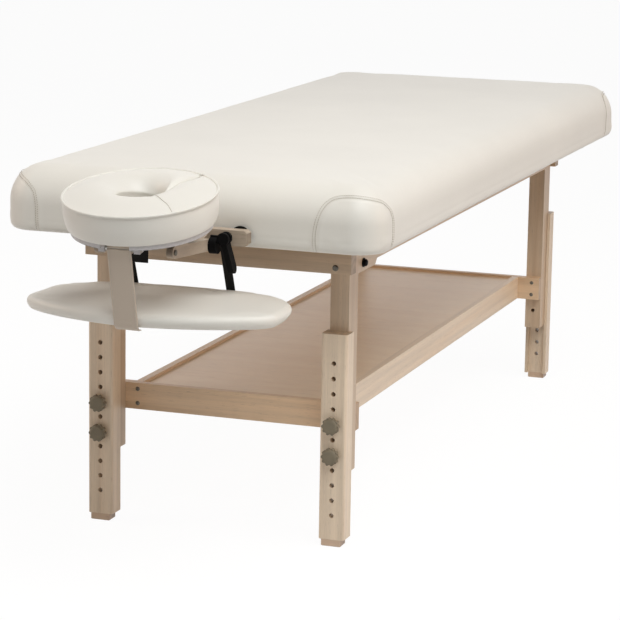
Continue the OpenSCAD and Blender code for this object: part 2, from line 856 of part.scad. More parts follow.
// Screws that hold the end rails to the legs, from inside, and to the side rails, from outside
module shelf_screws() {
    color("dimgray") for (side = [-1, 1]) for (end = [-1, 1]) corner(side, end) for (z = [-1, 1]) {
        translate([leg_x, rail_in_y, rail_z + rail_h / 2 + z * screw_gap / 2]) screw();
        translate([rail_in_x + rail_t / 2, upper_leg_in_y, rail_z + rail_h / 2 + z * screw_gap / 2])
            mirror([0, 1, 0]) screw();
    }
}

/* Face cradle base */

// Plastic sockets with a flange on the vinyl, in the head board and the socket bearer
module cradle_sockets() {
    flange_y = -end_y - socket_flange_t - soft_gap / 2;
    color("black") place() for (side = [-1, 1]) difference() {
        union() {
            bar_y([side * dowel_span / 2, flange_y, crossbar_z],
                dowel_dia + 2 * socket_wall + 2 * socket_flange_w, socket_flange_t);
            bar_y([side * dowel_span / 2, flange_y, crossbar_z], dowel_dia + 2 * socket_wall, socket_l);
        }
        bar_y([side * dowel_span / 2, flange_y - cut, crossbar_z],
            dowel_dia + 2 * run_gap, socket_l + 2 * cut);
    }
}

module cradle_dowels() {
    color("tan") place() for (side = [-1, 1])
        bar_y([side * dowel_span / 2, crossbar_y - crossbar_t / 2, crossbar_z],
            dowel_dia, dowel_l + crossbar_t / 2);
}

// The crossbar with its two ears, which reach forward to the tilt rod inside the arms
module cradle_crossbar() {
    half_l = crossbar_l / 2;
    half_h = crossbar_h / 2;
    c = crossbar_chamfer;
    ear_x = arm_x - ear_gap - ear_t;
    ear_back_y = crossbar_y - crossbar_t / 2;
    color("burlywood") place() difference() {
        union() {
            translate([0, crossbar_y, crossbar_z]) rotate([90, 0, 0]) linear_extrude(crossbar_t)
                polygon([
                    [-half_l, c - half_h],
                    [c - half_l, -half_h],
                    [half_l - c, -half_h],
                    [half_l, c - half_h],
                    [half_l, half_h - c],
                    [half_l - c, half_h],
                    [c - half_l, half_h],
                    [-half_l, half_h - c]
                ]);
            for (side = [-1, 1]) mirror([side < 0 ? 1 : 0, 0, 0]) {
                translate([ear_x, 0, 0]) rotate([90, 0, 90]) linear_extrude(ear_t)
                    polygon([
                        [ear_back_y, crossbar_z - half_h + c],
                        [ear_back_y, crossbar_z + half_h - c],
                        [crossbar_y - crossbar_t, crossbar_z + half_h - c],
                        [tilt_y, tilt_z + arm_h / 2],
                        [tilt_y, tilt_z - arm_h / 2],
                        [crossbar_y - crossbar_t, crossbar_z - half_h + c]
                    ]);
                bar_x([ear_x, tilt_y, tilt_z], arm_h, ear_t);
            }
        }
        for (side = [-1, 1])
            bar_y([side * dowel_span / 2, crossbar_y - crossbar_t / 2, crossbar_z],
                dowel_dia, crossbar_t / 2 + cut);
        bar_x([-crossbar_l / 2, tilt_y, tilt_z], rod_dia, crossbar_l);
    }
}

// The tilt rod with its nut on the left, and on the right the cam's washer, a flat tongue
// and the cross pin that the lever turns on
rod_nut_x = -(arm_x + arm_t) - rod_nut_h - fit_gap;
washer_x = arm_x + arm_t + fit_gap;
washer_out_x = washer_x + cam_washer_h;
lever_x = washer_out_x + lever_gap + lever_head_dia / 2;
lever_z = tilt_z + lever_pin_rise;

module tilt_rod() {
    color("black") place() {
        bar_x([rod_nut_x, tilt_y, tilt_z], rod_dia, washer_out_x - rod_nut_x);
        bar_x([washer_x, tilt_y, tilt_z], cam_washer_dia, cam_washer_h);
        translate([rod_nut_x, tilt_y, tilt_z]) rotate([0, 90, 0])
            cylinder(d = rod_nut_dia, h = rod_nut_h, $fn = 6);
        block(
            [washer_x, tilt_y - lever_tongue_w / 2, lever_z - lever_tongue_h / 2],
            [lever_x, tilt_y + lever_tongue_w / 2, lever_z + lever_tongue_h / 2]
        );
        bar_y([lever_x, tilt_y - lever_tongue_w / 2, lever_z], lever_tongue_h, lever_tongue_w);
        bar_y([lever_x, tilt_y - lever_w / 2, lever_z], lever_pin_dia, lever_w);
    }
}

// The cam lever: a round forked head on the cross pin and a flat handle that hangs down.
// It swings up and out.
module cam_lever() {
    slot_w = lever_tongue_w + 2 * lever_tongue_gap;
    color("black") place() translate([lever_x, tilt_y, lever_z]) difference() {
        union() {
            bar_y([0, -lever_w / 2, 0], lever_head_dia, lever_w);
            rotate([lever_back_slope, -lever_out_slope, 0]) {
                block([-lever_t / 2, -lever_w / 2, lever_w / 2 - lever_l], [lever_t / 2, lever_w / 2, 0]);
                bar_x([-lever_t / 2, 0, lever_w / 2 - lever_l], lever_w, lever_t);
            }
        }
        bar_y([0, -lever_w, 0], lever_pin_dia + 2 * run_gap, 2 * lever_w);
        bar_y([0, -slot_w / 2, 0], lever_head_dia + 2 * lever_gap, slot_w);
    }
}

/* Face cradle head */

// Turns children about the front rod, so that they lie in the pillow's tilted plane.
// There the plate's underside is at height zero and its centre is plate_back behind the rod.
module tilted() {
    place() plate_frame() children();
}

module plate_frame() {
    translate([0, front_y, front_z + plate_rise]) rotate([pillow_tilt, 0, 0]) children();
}

// An arm that turns on the tilt rod. A block on top of its front part carries the plate.
module cradle_arm(side) {
    rear = [tilt_y, tilt_z];
    front = [arm_end_y, arm_end_z];
    along = (front - rear) / norm(front - rear);
    up = [along[1], -along[0]] * arm_h / 2;
    color("burlywood") place() mirror([side < 0 ? 1 : 0, 0, 0]) difference() {
        union() {
            translate([arm_x, 0, 0]) rotate([90, 0, 90]) linear_extrude(arm_t)
                polygon([rear + up, front + up, front - up, rear - up]);
            bar_x([arm_x, tilt_y, tilt_z], arm_h, arm_t);
            bar_x([arm_x, arm_end_y, arm_end_z], arm_h, arm_t);
            translate([arm_x, 0, 0]) rotate([90, 0, 90]) linear_extrude(arm_t)
                polygon([
                    front,
                    plate_point(block_near),
                    plate_point(block_near + block_l),
                    front - along * block_l
                ]);
        }
        bar_x([arm_x - cut, tilt_y, tilt_z], rod_dia + 2 * run_gap, arm_t + 2 * cut);
        bar_x([arm_x - cut, arm_end_y, arm_end_z], arm_bolt_dia, arm_t + 2 * cut);
    }
}

// Bolts through the front ends of the arms, with their heads outside
module arm_bolts() {
    color("dimgray") place() for (side = [-1, 1]) mirror([side < 0 ? 1 : 0, 0, 0]) {
        bar_x([arm_x, arm_end_y, arm_end_z], arm_bolt_dia, arm_t + arm_bolt_head_h);
        bar_x([arm_x + arm_t, arm_end_y, arm_end_z], arm_bolt_head_dia, arm_bolt_head_h);
    }
}

// Y and Z of a point of the plate's underside, measured back from the front rod
function plate_point(back) = [
    front_y + back * cos(pillow_tilt),
    front_z + plate_rise + back * sin(pillow_tilt)
];

module cradle_arm_left() { cradle_arm(-1); }

module cradle_arm_right() { cradle_arm(1); }

// Round plate with the face opening, a slot towards the table, a notch for the armrest's band,
// and two blocks under it that hold the front rod
rod_block_x = band_w / 2 + plate_notch_gap;
rod_half_l = rod_block_x + rod_block_t;

module cradle_plate() {
    color("burlywood") tilted() translate([0, plate_back, 0]) difference() {
        union() {
            cylinder(r = plate_r, h = plate_t, $fn = 96);
            for (side = [-1, 1]) mirror([side < 0 ? 1 : 0, 0, 0])
                block(
                    [rod_block_x, -plate_back - rod_block_w / 2, -rod_block_h],
                    [rod_half_l, rod_block_w / 2 - plate_back, plate_t / 2]
                );
        }
        translate([0, 0, -cut]) cylinder(r = face_hole_ry + plate_hole_extra, h = plate_t + 2 * cut);
        translate([-plate_slot_w / 2, 0, -cut]) cube([plate_slot_w, plate_r + cut, plate_t + 2 * cut]);
        block(
            [-rod_block_x, -plate_r - cut, -cut],
            [rod_block_x, plate_notch_back - plate_back, plate_t + cut]
        );
        bar_x(
            [-rod_half_l - cut, -plate_back - plate_rise * sin(pillow_tilt), -plate_rise * cos(pillow_tilt)],
            rod_dia,
            2 * (rod_half_l + cut)
        );
    }
}

module front_rod() {
    color("dimgray") place() bar_x([-rod_half_l, front_y, front_z], rod_dia, 2 * rod_half_l);
}

// Section of the pillow's ring at a station between the two ends of the slit. The section
// lines run straight out at the far side and lean over towards the slit.
function slit_angle(r) = asin(slit_w / 2 / r);
function pillow_section(t) = let (
        a = slit_bearing + slit_angle(pillow_r) + t * (360 - 2 * slit_angle(pillow_r)),
        spread = slit_angle(face_hole_ry) - slit_angle(pillow_r),
        b = a - slit_skew * (1 + cos(360 * t)) / 2 + spread * (1 - 2 * t),
        inner = [face_hole_rx * cos(b), face_hole_ry * sin(b)],
        outer = [cos(a), sin(a)],
        side = [for (s = pillow_side_share)
            let (r = pillow_base_r + (pillow_r - pillow_base_r) * s + pillow_side_bulge * sin(180 * s))
                [outer[0] * r, outer[1] * r, plate_t + soft_gap / 4 + (pillow_h - piping_dia) * s]],
        bead = [for (b = [-45, 0, 45, 100])
            let (r = pillow_r + piping_out + piping_dia / 2 * cos(b))
                [outer[0] * r, outer[1] * r, plate_t + pillow_h + piping_dia / 2 * sin(b)]],
        top = [for (s = pillow_top_share)
            let (p = inner + (outer * pillow_r - inner) * s, swell = sin(180 * pow(s, pillow_crest_share)))
                [p[0], p[1], plate_t + pillow_h + pillow_crown * swell]],
        hole = [for (s = [1, 0.55, 0])
            [inner[0], inner[1], plate_t + soft_gap / 4 + (pillow_h - pillow_crown / 2) * s]]
    ) concat(side, bead, top, hole);

module face_pillow() {
    stations = [for (i = [0:pillow_steps]) pillow_section(i / pillow_steps)];
    n = len(stations[0]);
    rows = len(stations);
    color("ivory") tilted() translate([0, plate_back, 0]) polyhedron(
        points = [for (s = stations) for (p = s) p],
        faces = concat(
            [for (r = [0:rows - 2]) for (i = [0:n - 1]) for (half = [0:1])
                let (a = r * n + i, b = r * n + (i + 1) % n, c = a + n, d = b + n)
                    half == 0 ? [a, b, d] : [a, d, c]],
            [for (i = [1:n - 2]) [0, i + 1, i]],
            [for (i = [1:n - 2]) let (base = (rows - 1) * n) [base, base + i, base + i + 1]]
        )
    );
}

/* Armrest */

// Outline of the armrest: a rounded front and a straighter back
function armrest_outline(inset) = [
    for (i = [0:armrest_points - 1]) let (
            a = 360 * i / armrest_points,
            power = sin(a) < 0 ? armrest_front_power : armrest_back_power,
            half_l = armrest_l * (sin(a) < 0 ? armrest_front_share : 1 - armrest_front_share)
        )
        [
            (armrest_w / 2 - inset) * spow(cos(a), 2 / power),
            armrest_wide_y + (half_l - inset) * spow(sin(a), 2 / power)
        ]
];

// The board lies in a pocket in the underside of the pad
module board_shape(extra) {
    translate([0, 0, armrest_z - extra]) linear_extrude(board_t + extra)
        polygon(armrest_outline(board_margin));
}

module armrest_board() {
    color("tan") place() board_shape(0);
}

// The pad wraps round the board's edge in a half round and crowns a little
module armrest_pad() {
    rings = concat(
        [for (i = [-armrest_edge_steps + 1:armrest_edge_steps])
            let (a = 90 * i / armrest_edge_steps)
                [for (p = armrest_outline(armrest_edge_r * (1 - cos(a))))
                    [p[0], p[1], armrest_mid_z + armrest_edge_r * sin(a)]]],
        [for (s = pad_crown_shares)
            [for (p = armrest_outline((armrest_l / 2 - armrest_edge_r) * (1 - s) + armrest_edge_r))
                [p[0], p[1], armrest_mid_z + armrest_edge_r + pad_crown * (1 - s * s)]]]
    );
    low = [for (p = armrest_outline(armrest_edge_r)) [p[0], p[1], armrest_z]];
    color("ivory") place() difference() {
        skin(
            concat([low], rings),
            [0, armrest_y, armrest_z],
            [0, armrest_y, armrest_mid_z + armrest_edge_r + pad_crown]
        );
        board_shape(cut);
    }
}

// A quarter ring that hooks under an edge of the armrest: facing is -1 front or 1 back.
// edge_y is the centre of the armrest's rounded edge.
module hook(edge_y, facing, slack, t) {
    in_r = armrest_edge_r + slack;
    out_r = in_r + t;
    intersection() {
        difference() {
            translate([edge_y, armrest_mid_z]) circle(r = out_r);
            translate([edge_y, armrest_mid_z]) circle(r = in_r);
        }
        translate([facing < 0 ? edge_y - out_r - cut : edge_y, armrest_mid_z - out_r - cut])
            square([out_r + cut, out_r + cut]);
    }
}

// The straight fall of a band, from its inner and outer Y at the top down into the hook
module fall(top_in_y, top_out_y, top_z, edge_y, facing, slack, t) {
    in_y = edge_y + facing * (armrest_edge_r + slack);
    polygon([
        [top_out_y, top_z],
        [top_in_y, top_z],
        [in_y + facing * weld, armrest_mid_z - hook_join],
        [in_y + facing * (t - weld), armrest_mid_z - hook_join]
    ]);
}

// The stitched band: a loop around the front rod, a straight fall in front of the armrest,
// and a hook under its front edge
module armrest_band() {
    loop_r = rod_dia / 2 + soft_gap;
    edge_y = armrest_front_y + armrest_edge_r;
    in_y = front_y - loop_r - weld;
    out_y = front_y - loop_r - band_t + weld;
    color("gainsboro") place() difference() {
        union() {
            bar_x([-band_w / 2, front_y, front_z], 2 * (loop_r + band_t), band_w);
            across(0, band_w) fall(in_y, out_y, front_z, edge_y, -1, band_slack, band_t);
            across(0, band_w) hook(edge_y, -1, band_slack, band_t);
        }
        bar_x([-band_w, front_y, front_z], 2 * loop_r, 2 * band_w);
    }
}

// A webbing strap: a flat end under the crossbar and a fall to the armrest's back edge
module strap(x) {
    edge_y = armrest_y + armrest_l / 2 - armrest_edge_r;
    low_z = crossbar_z - crossbar_h / 2 - strap_t;
    end_y = crossbar_y - crossbar_t + strap_end_l;
    color("black") place() {
        across(x, strap_w) translate([crossbar_y - crossbar_t + strap_end_back, low_z])
            square([strap_end_l, strap_t]);
        across(x, strap_w)
            fall(end_y, end_y + strap_t, low_z + strap_t - weld, edge_y, 1, strap_gap, strap_t);
        across(x, strap_w) hook(edge_y, 1, strap_gap, strap_t);
    }
}

// The loose end of the left strap: it lies under the crossbar and hangs down in front of it
module strap_tail() {
    y = crossbar_y - crossbar_t;
    z = crossbar_z - crossbar_h / 2;
    color("black") place() {
        block([strap_tail_x - strap_tail_w / 2, y, z - strap_t],
            [strap_tail_x + strap_tail_w / 2, y + strap_end_l, z]);
        block([strap_tail_x - strap_tail_w / 2, y, z - strap_tail_l + strap_tail_w / 2],
            [strap_tail_x + strap_tail_w / 2, y + strap_t, z]);
        bar_y([strap_tail_x, y, z - strap_tail_l + strap_tail_w / 2], strap_tail_w, strap_t);
    }
}

module armrest_straps() {
    strap(strap_left_x);
    strap(strap_right_x);
    strap_tail();
}

cushion_top();
deck_panel();
deck_frame();
deck_bearers();
apron_head();
apron_foot();
apron_left();
apron_right();
apron_bolts();
leg_bolt_caps();
upper_leg_head_left();
upper_leg_head_right();
upper_leg_foot_left();
upper_leg_foot_right();
lower_leg_head_left();
lower_leg_head_right();
lower_leg_foot_left();
lower_leg_foot_right();
foot_head_left();
foot_head_right();
foot_foot_left();
foot_foot_right();
knob_head_left_low();
knob_head_left_high();
knob_head_right_low();
knob_head_right_high();
knob_foot_left_low();
knob_foot_left_high();
knob_foot_right_low();
knob_foot_right_high();
stud_head_left_low();
stud_head_left_high();
stud_head_right_low();
stud_head_right_high();
stud_foot_left_low();
stud_foot_left_high();
stud_foot_right_low();
stud_foot_right_high();
threaded_inserts();
shelf_panel();
shelf_rail_head();
shelf_rail_foot();
shelf_rail_left();
shelf_rail_right();
shelf_screws();
cradle_sockets();
cradle_crossbar();
cradle_dowels();
tilt_rod();
cam_lever();
cradle_arm_left();
cradle_arm_right();
arm_bolts();
cradle_plate();
face_pillow();
front_rod();
armrest_band();
armrest_straps();
armrest_board();
armrest_pad();
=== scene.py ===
"""Looks of a stationary massage table: camera, light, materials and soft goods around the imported
solids. All lengths are in metres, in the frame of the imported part."""
import math

import bmesh
import bpy
import numpy as np
from mathutils import Matrix, Vector, noise


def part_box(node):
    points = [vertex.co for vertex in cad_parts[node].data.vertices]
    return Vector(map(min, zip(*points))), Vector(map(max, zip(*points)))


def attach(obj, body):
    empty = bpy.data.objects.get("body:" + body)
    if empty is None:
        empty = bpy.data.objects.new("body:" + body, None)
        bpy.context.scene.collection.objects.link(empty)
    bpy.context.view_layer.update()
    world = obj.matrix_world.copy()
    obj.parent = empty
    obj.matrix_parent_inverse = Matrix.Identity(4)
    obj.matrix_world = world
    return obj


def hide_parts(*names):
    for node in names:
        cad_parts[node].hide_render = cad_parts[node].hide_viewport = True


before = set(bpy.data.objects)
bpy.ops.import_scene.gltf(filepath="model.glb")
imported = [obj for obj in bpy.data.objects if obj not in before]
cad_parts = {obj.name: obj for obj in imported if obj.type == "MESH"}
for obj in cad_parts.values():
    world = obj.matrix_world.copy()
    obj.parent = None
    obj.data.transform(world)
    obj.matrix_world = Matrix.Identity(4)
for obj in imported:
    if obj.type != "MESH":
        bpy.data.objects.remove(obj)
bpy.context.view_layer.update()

MM = 0.001


# ---------------------------------------------------------------- camera and light

def middle_of(node):
    low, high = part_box(node)
    return (low + high) / 2


TABLE_Y = middle_of("deck_panel").y


def place_camera():
    """A long lens in front of the head end, on the right, a little above the table."""
    azimuth, elevation, roll = math.radians(19.195), math.radians(11.401), math.radians(0.919)
    back = Vector((
        math.sin(azimuth) * math.cos(elevation),
        -math.cos(azimuth) * math.cos(elevation),
        math.sin(elevation),
    ))
    right = Vector((math.cos(azimuth), math.sin(azimuth), 0))
    up = back.cross(right)
    right_rolled = right * math.cos(roll) + up * math.sin(roll)
    up_rolled = up * math.cos(roll) - right * math.sin(roll)
    matrix = Matrix((right_rolled, up_rolled, back)).transposed().to_4x4()
    matrix.translation = Vector((1.672, -5.044 + TABLE_Y, 1.353))
    data = bpy.data.cameras.new("camera")
    data.sensor_width = 36
    data.lens = 148.0
    camera = bpy.data.objects.new("camera", data)
    camera.matrix_world = matrix
    bpy.context.scene.collection.objects.link(camera)
    bpy.context.scene.camera = camera


def area_lamp(name, place, aim, size, power, color):
    data = bpy.data.lights.new(name, "AREA")
    data.shape = "SQUARE"
    data.size = size
    data.energy = power
    data.color = color
    lamp = bpy.data.objects.new(name, data)
    lamp.location = place
    lamp.rotation_euler = (Vector(aim) - Vector(place)).to_track_quat("-Z", "Y").to_euler()
    bpy.context.scene.collection.objects.link(lamp)


WORLD_LIGHT, WORLD_COLOR = 0.21, (1.0, 0.975, 0.93, 1)
AIM_HEIGHT = 0.5
# Name, place from the middle of the table, size, power and colour
LAMPS = [
    ("key", (1.6, -1.2, 3.7), 2.4, 74, (1, 0.99, 0.97)),
    ("near", (1.9, -3.4, 3.7), 2.2, 45, (0.98, 1, 0.98)),
    ("side", (4.6, 0.6, 1.5), 2.6, 34, (1, 0.66, 0.44)),
    ("left", (-4.1, -1.5, 2.6), 2.6, 58, (1, 0.8, 0.66)),
]
FLOOR_HALF, FLOOR_CELLS = 30.0, 40
FLOOR_COLOR, FLOOR_GLOW, GLOW_SHARE = (0.72, 0.72, 0.72, 1), 1.055, 0.9


def white_where_seen(tree, seen, lit):
    """Factor that is 1 for camera, glossy and transmission rays."""
    path = tree.nodes.new("ShaderNodeLightPath")
    factor = path.outputs["Is Camera Ray"]
    for name in ("Is Glossy Ray", "Is Transmission Ray"):
        most = tree.nodes.new("ShaderNodeMath")
        most.operation = "MAXIMUM"
        tree.links.new(factor, most.inputs[0])
        tree.links.new(path.outputs[name], most.inputs[1])
        factor = most.outputs[0]
    mix = tree.nodes.new("ShaderNodeMixShader")
    tree.links.new(factor, mix.inputs[0])
    tree.links.new(lit, mix.inputs[1])
    tree.links.new(seen, mix.inputs[2])
    return mix.outputs[0]


def light_scene():
    world = bpy.data.worlds.new("studio")
    world.use_nodes = True
    tree = world.node_tree
    tree.nodes.clear()
    lit = tree.nodes.new("ShaderNodeBackground")
    lit.inputs["Color"].default_value = WORLD_COLOR
    lit.inputs["Strength"].default_value = WORLD_LIGHT
    seen = tree.nodes.new("ShaderNodeBackground")
    seen.inputs["Color"].default_value = (1, 1, 1, 1)
    seen.inputs["Strength"].default_value = 1
    out = tree.nodes.new("ShaderNodeOutputWorld")
    tree.links.new(white_where_seen(tree, seen.outputs[0], lit.outputs[0]), out.inputs[0])
    bpy.context.scene.world = world
    for name, (x, y, z), size, power, color in LAMPS:
        area_lamp(name, (x, TABLE_Y + y, z), (0, TABLE_Y, AIM_HEIGHT), size, power, color)
    bpy.context.scene.view_settings.view_transform = "Standard"


def build_floor():
    """A pale floor that shows the camera pure white, less the soft shadow of the table."""
    bm = bmesh.new()
    places = [FLOOR_HALF * (2 * i / FLOOR_CELLS - 1) for i in range(FLOOR_CELLS + 1)]
    grid = [[bm.verts.new((x, y + TABLE_Y, 0)) for x in places] for y in places]
    for j in range(FLOOR_CELLS):
        for i in range(FLOOR_CELLS):
            bm.faces.new((grid[j][i], grid[j][i + 1], grid[j + 1][i + 1], grid[j + 1][i]))
    mesh = bpy.data.meshes.new("floor")
    bm.to_mesh(mesh)
    bm.free()
    floor = bpy.data.objects.new("floor", mesh)
    bpy.context.scene.collection.objects.link(floor)
    material = bpy.data.materials.new("floor")
    material.use_nodes = True
    tree = material.node_tree
    tree.nodes.clear()
    diffuse = tree.nodes.new("ShaderNodeBsdfDiffuse")
    diffuse.inputs["Color"].default_value = FLOOR_COLOR
    glow = tree.nodes.new("ShaderNodeEmission")
    glow.inputs["Strength"].default_value = FLOOR_GLOW
    shade = tree.nodes.new("ShaderNodeMixShader")
    shade.inputs[0].default_value = GLOW_SHARE
    tree.links.new(diffuse.outputs[0], shade.inputs[1])
    tree.links.new(glow.outputs[0], shade.inputs[2])
    out = tree.nodes.new("ShaderNodeOutputMaterial")
    seen = white_where_seen(tree, shade.outputs[0], diffuse.outputs[0])
    tree.links.new(seen, out.inputs[0])
    mesh.materials.append(material)


# ---------------------------------------------------------------- materials

class Paint:
    """A material in the making: one principled shader and short calls for the nodes behind it."""

    def __init__(self, name, **fixed):
        self.material = bpy.data.materials.new(name)
        self.material.use_nodes = True
        self.tree = self.material.node_tree
        self.tree.nodes.clear()
        self.shader = self.node("BsdfPrincipled")
        for key, value in fixed.items():
            self.shader.inputs[key.replace("_", " ")].default_value = value
        out = self.node("OutputMaterial")
        self.tree.links.new(self.shader.outputs[0], out.inputs[0])
        self.place = self.node("TexCoord").outputs["Object"]

    def node(self, kind, inputs=None, **settings):
        made = self.tree.nodes.new("ShaderNode" + kind)
        for key, value in settings.items():
            setattr(made, key, value)
        for key, value in (inputs or {}).items():
            self.put(made.inputs[key], value)
        return made

    def put(self, socket, value):
        if isinstance(value, bpy.types.NodeSocket):
            self.tree.links.new(value, socket)
        else:
            socket.default_value = value

    def stretched(self, scale):
        return self.node("Mapping", {"Vector": self.place, "Scale": scale}).outputs[0]

    def noise(self, vector, scale, detail=3.0, rough=0.5, distort=0.0):
        return self.node("TexNoise", {"Vector": vector, "Scale": scale, "Detail": detail,
                                      "Roughness": rough, "Distortion": distort}).outputs["Fac"]

    def cells(self, vector, scale, feature="F1"):
        return self.node("TexVoronoi", {"Vector": vector, "Scale": scale},
                         feature=feature).outputs["Distance"]

    def math(self, kind, a, b=0.0, c=0.0):
        return self.node("Math", {0: a, 1: b, 2: c}, operation=kind).outputs[0]

    def remap(self, value, low, high, to_low=0.0, to_high=1.0):
        return self.node("MapRange", {"Value": value, "From Min": low, "From Max": high,
                                      "To Min": to_low, "To Max": to_high}).outputs[0]

    def blend(self, factor, a, b):
        full = [v if isinstance(v, bpy.types.NodeSocket) else (*v, 1) for v in (a, b)]
        return self.node("Mix", {0: factor, 6: full[0], 7: full[1]}, data_type="RGBA").outputs[2]

    def tint(self, color, factor):
        """The colour times a factor socket."""
        return self.node("VectorMath", {0: color, "Scale": factor}, operation="SCALE").outputs[0]

    def facing(self, axis):
        """How squarely a face looks along an axis of the part, from 0 to 1."""
        normal = self.node("TexCoord").outputs["Normal"]
        split = self.node("SeparateXYZ", {0: normal})
        return self.math("ABSOLUTE", split.outputs["XYZ".index(axis)])

    def color(self, socket):
        self.put(self.shader.inputs["Base Color"], socket)

    def rough(self, socket):
        self.put(self.shader.inputs["Roughness"], socket)

    def bump(self, height, depth, strength=1.0):
        """Bump of a height socket that runs from 0 to 1, over a depth in metres."""
        under = self.shader.inputs["Normal"]
        before = under.links[0].from_socket if under.links else None
        made = self.node("Bump", {"Height": height, "Distance": depth, "Strength": strength})
        if before:
            self.tree.links.new(before, made.inputs["Normal"])
        self.tree.links.new(made.outputs[0], under)


def stretch_along(axis, along, across=1.0):
    return tuple(along if name == axis else across for name in "XYZ")


def wood(name, axis, light, dark, contrast=0.5, rings=16.0, rough=0.42):
    """Clear-lacquered board whose grain runs along an axis: growth rings, fibres, pores, rays and
    a darker end grain."""
    p = Paint(name, Coat_Weight=0.12, Coat_Roughness=0.3)
    board = p.stretched(stretch_along(axis, 0.07))
    warp = p.noise(board, 7.0, 3.0, 0.55)
    sweep = p.math("MULTIPLY_ADD", warp, 0.34, p.noise(board, 2.0, 1.0))
    lines = p.math("PINGPONG", p.math("MULTIPLY", sweep, rings), 1.0)
    late = p.math("POWER", lines, 3.0)
    broad = p.noise(p.stretched(stretch_along(axis, 0.12)), 13.0, 2.0)
    figure = p.math("MULTIPLY_ADD", late, 0.55, p.math("MULTIPLY", broad, 0.75))
    figure = p.remap(figure, 0.2, 1.05)
    base = p.blend(p.math("MULTIPLY", figure, contrast), light, dark)
    fibre = p.noise(p.stretched(stretch_along(axis, 0.035)), 620.0, 4.0, 0.6)
    base = p.tint(base, p.remap(fibre, 0.25, 0.75, 0.93, 1.04))
    streak = p.noise(p.stretched(stretch_along(axis, 0.02)), 120.0, 2.0, 0.5)
    base = p.tint(base, p.remap(streak, 0.3, 0.75, 1.05, 0.87))
    pores = p.noise(p.stretched(stretch_along(axis, 0.06)), 900.0, 1.0, 0.4)
    pore = p.remap(pores, 0.66, 0.74)
    base = p.blend(p.math("MULTIPLY", pore, 0.34), base, tuple(0.45 * c for c in dark))
    end = p.remap(p.facing(axis), 0.75, 0.95)
    end_rings = p.math("PINGPONG", p.math("MULTIPLY", p.noise(p.place, 9.0, 2.0), 26.0), 1.0)
    end_color = p.tint(tuple(0.74 * c for c in dark), p.remap(end_rings, 0, 1, 0.85, 1.12))
    base = p.blend(end, base, end_color)
    p.color(base)
    p.rough(p.remap(fibre, 0.2, 0.8, rough - 0.05, rough + 0.08))
    p.bump(fibre, 0.00012, 0.5)
    p.bump(pore, -0.0001, 0.5)
    return p.material


def plywood(name, axis, light, dark, thin, layers=0.0014, rough=0.45):
    """Sheet of plywood: a rotary-cut face veneer, and plies that show on its edges."""
    p = Paint(name, Coat_Weight=0.4, Coat_Roughness=0.3)
    face = p.stretched(stretch_along(axis, 0.22))
    cloud = p.noise(face, 5.5, 3.0, 0.6, 0.6)
    waves = p.math("PINGPONG", p.math("MULTIPLY", cloud, 13.0), 1.0)
    figure = p.math("MULTIPLY_ADD", p.math("POWER", waves, 2.0), 0.35,
                    p.math("MULTIPLY", cloud, 0.7))
    base = p.blend(p.remap(figure, 0.25, 0.95, 0.0, 0.55), light, dark)
    fibre = p.noise(p.stretched(stretch_along(axis, 0.05)), 520.0, 4.0, 0.6)
    base = p.tint(base, p.remap(fibre, 0.25, 0.75, 0.93, 1.04))
    mottle = p.noise(p.place, 26.0, 3.0, 0.6)
    base = p.tint(base, p.remap(mottle, 0.3, 0.7, 0.975, 1.02))
    dashes = p.remap(p.noise(p.stretched(stretch_along(axis, 0.07)), 430.0, 1.0, 0.4), 0.68, 0.75)
    base = p.blend(p.math("MULTIPLY", dashes, 0.3), base, tuple(0.5 * c for c in dark))
    across = p.node("SeparateXYZ", {0: p.place}).outputs["XYZ".index(thin)]
    ply = p.math("PINGPONG", p.math("MULTIPLY", across, 0.5 / layers), 1.0)
    edge = p.blend(p.remap(ply, 0.45, 0.55), tuple(0.92 * c for c in light),
                   tuple(0.62 * c for c in dark))
    side = p.remap(p.facing(thin), 0.6, 0.4)
    p.color(p.blend(side, base, edge))
    p.rough(p.remap(fibre, 0.2, 0.8, rough - 0.04, rough + 0.1))
    p.bump(fibre, 0.0001, 0.5)
    return p.material


def vinyl(name, color, rough=0.4, grain=1500.0, depth=0.00006, tone=0.02):
    """Upholstery vinyl: a fine pebbled grain with painted shade in the valleys between its pebbles,
    a faint unevenness of tone and a soft sheen.
    """
    p = Paint(name, Coat_Weight=0.08, Coat_Roughness=0.45, Sheen_Weight=0.05,
              Sheen_Roughness=0.6)
    soft = p.noise(p.place, 5.0, 3.0, 0.5)
    base = p.tint(color, p.remap(soft, 0.3, 0.7, 1 - tone, 1 + tone))
    pebble = p.cells(p.place, grain, "SMOOTH_F1")
    crease = p.noise(p.place, grain / 3, 3.0, 0.6)
    # Painted shade: the colour darkens a little in the valleys between the pebbles, where the bump
    # sinks
    p.color(p.tint(base, p.remap(pebble, 0.1, 0.8, 1.01, 0.965)))
    p.rough(p.remap(crease, 0.3, 0.7, rough - 0.05, rough + 0.07))
    p.bump(pebble, -depth, 0.6)
    p.bump(crease, depth, 0.4)
    return p.material


def moulded(name, color, rough=0.5, grain=700.0, depth=0.00005, level=0.5):
    """Moulded plastic or rubber with a spark-eroded grain and slight scuffs."""
    p = Paint(name, Specular_IOR_Level=level)
    fine = p.noise(p.place, grain, 3.0, 0.6)
    wear = p.noise(p.place, 35.0, 4.0, 0.6)
    p.color(p.tint(color, p.remap(wear, 0.3, 0.75, 0.93, 1.12)))
    p.rough(p.remap(wear, 0.3, 0.7, rough - 0.06, rough + 0.08))
    p.bump(fine, depth, 0.6)
    return p.material


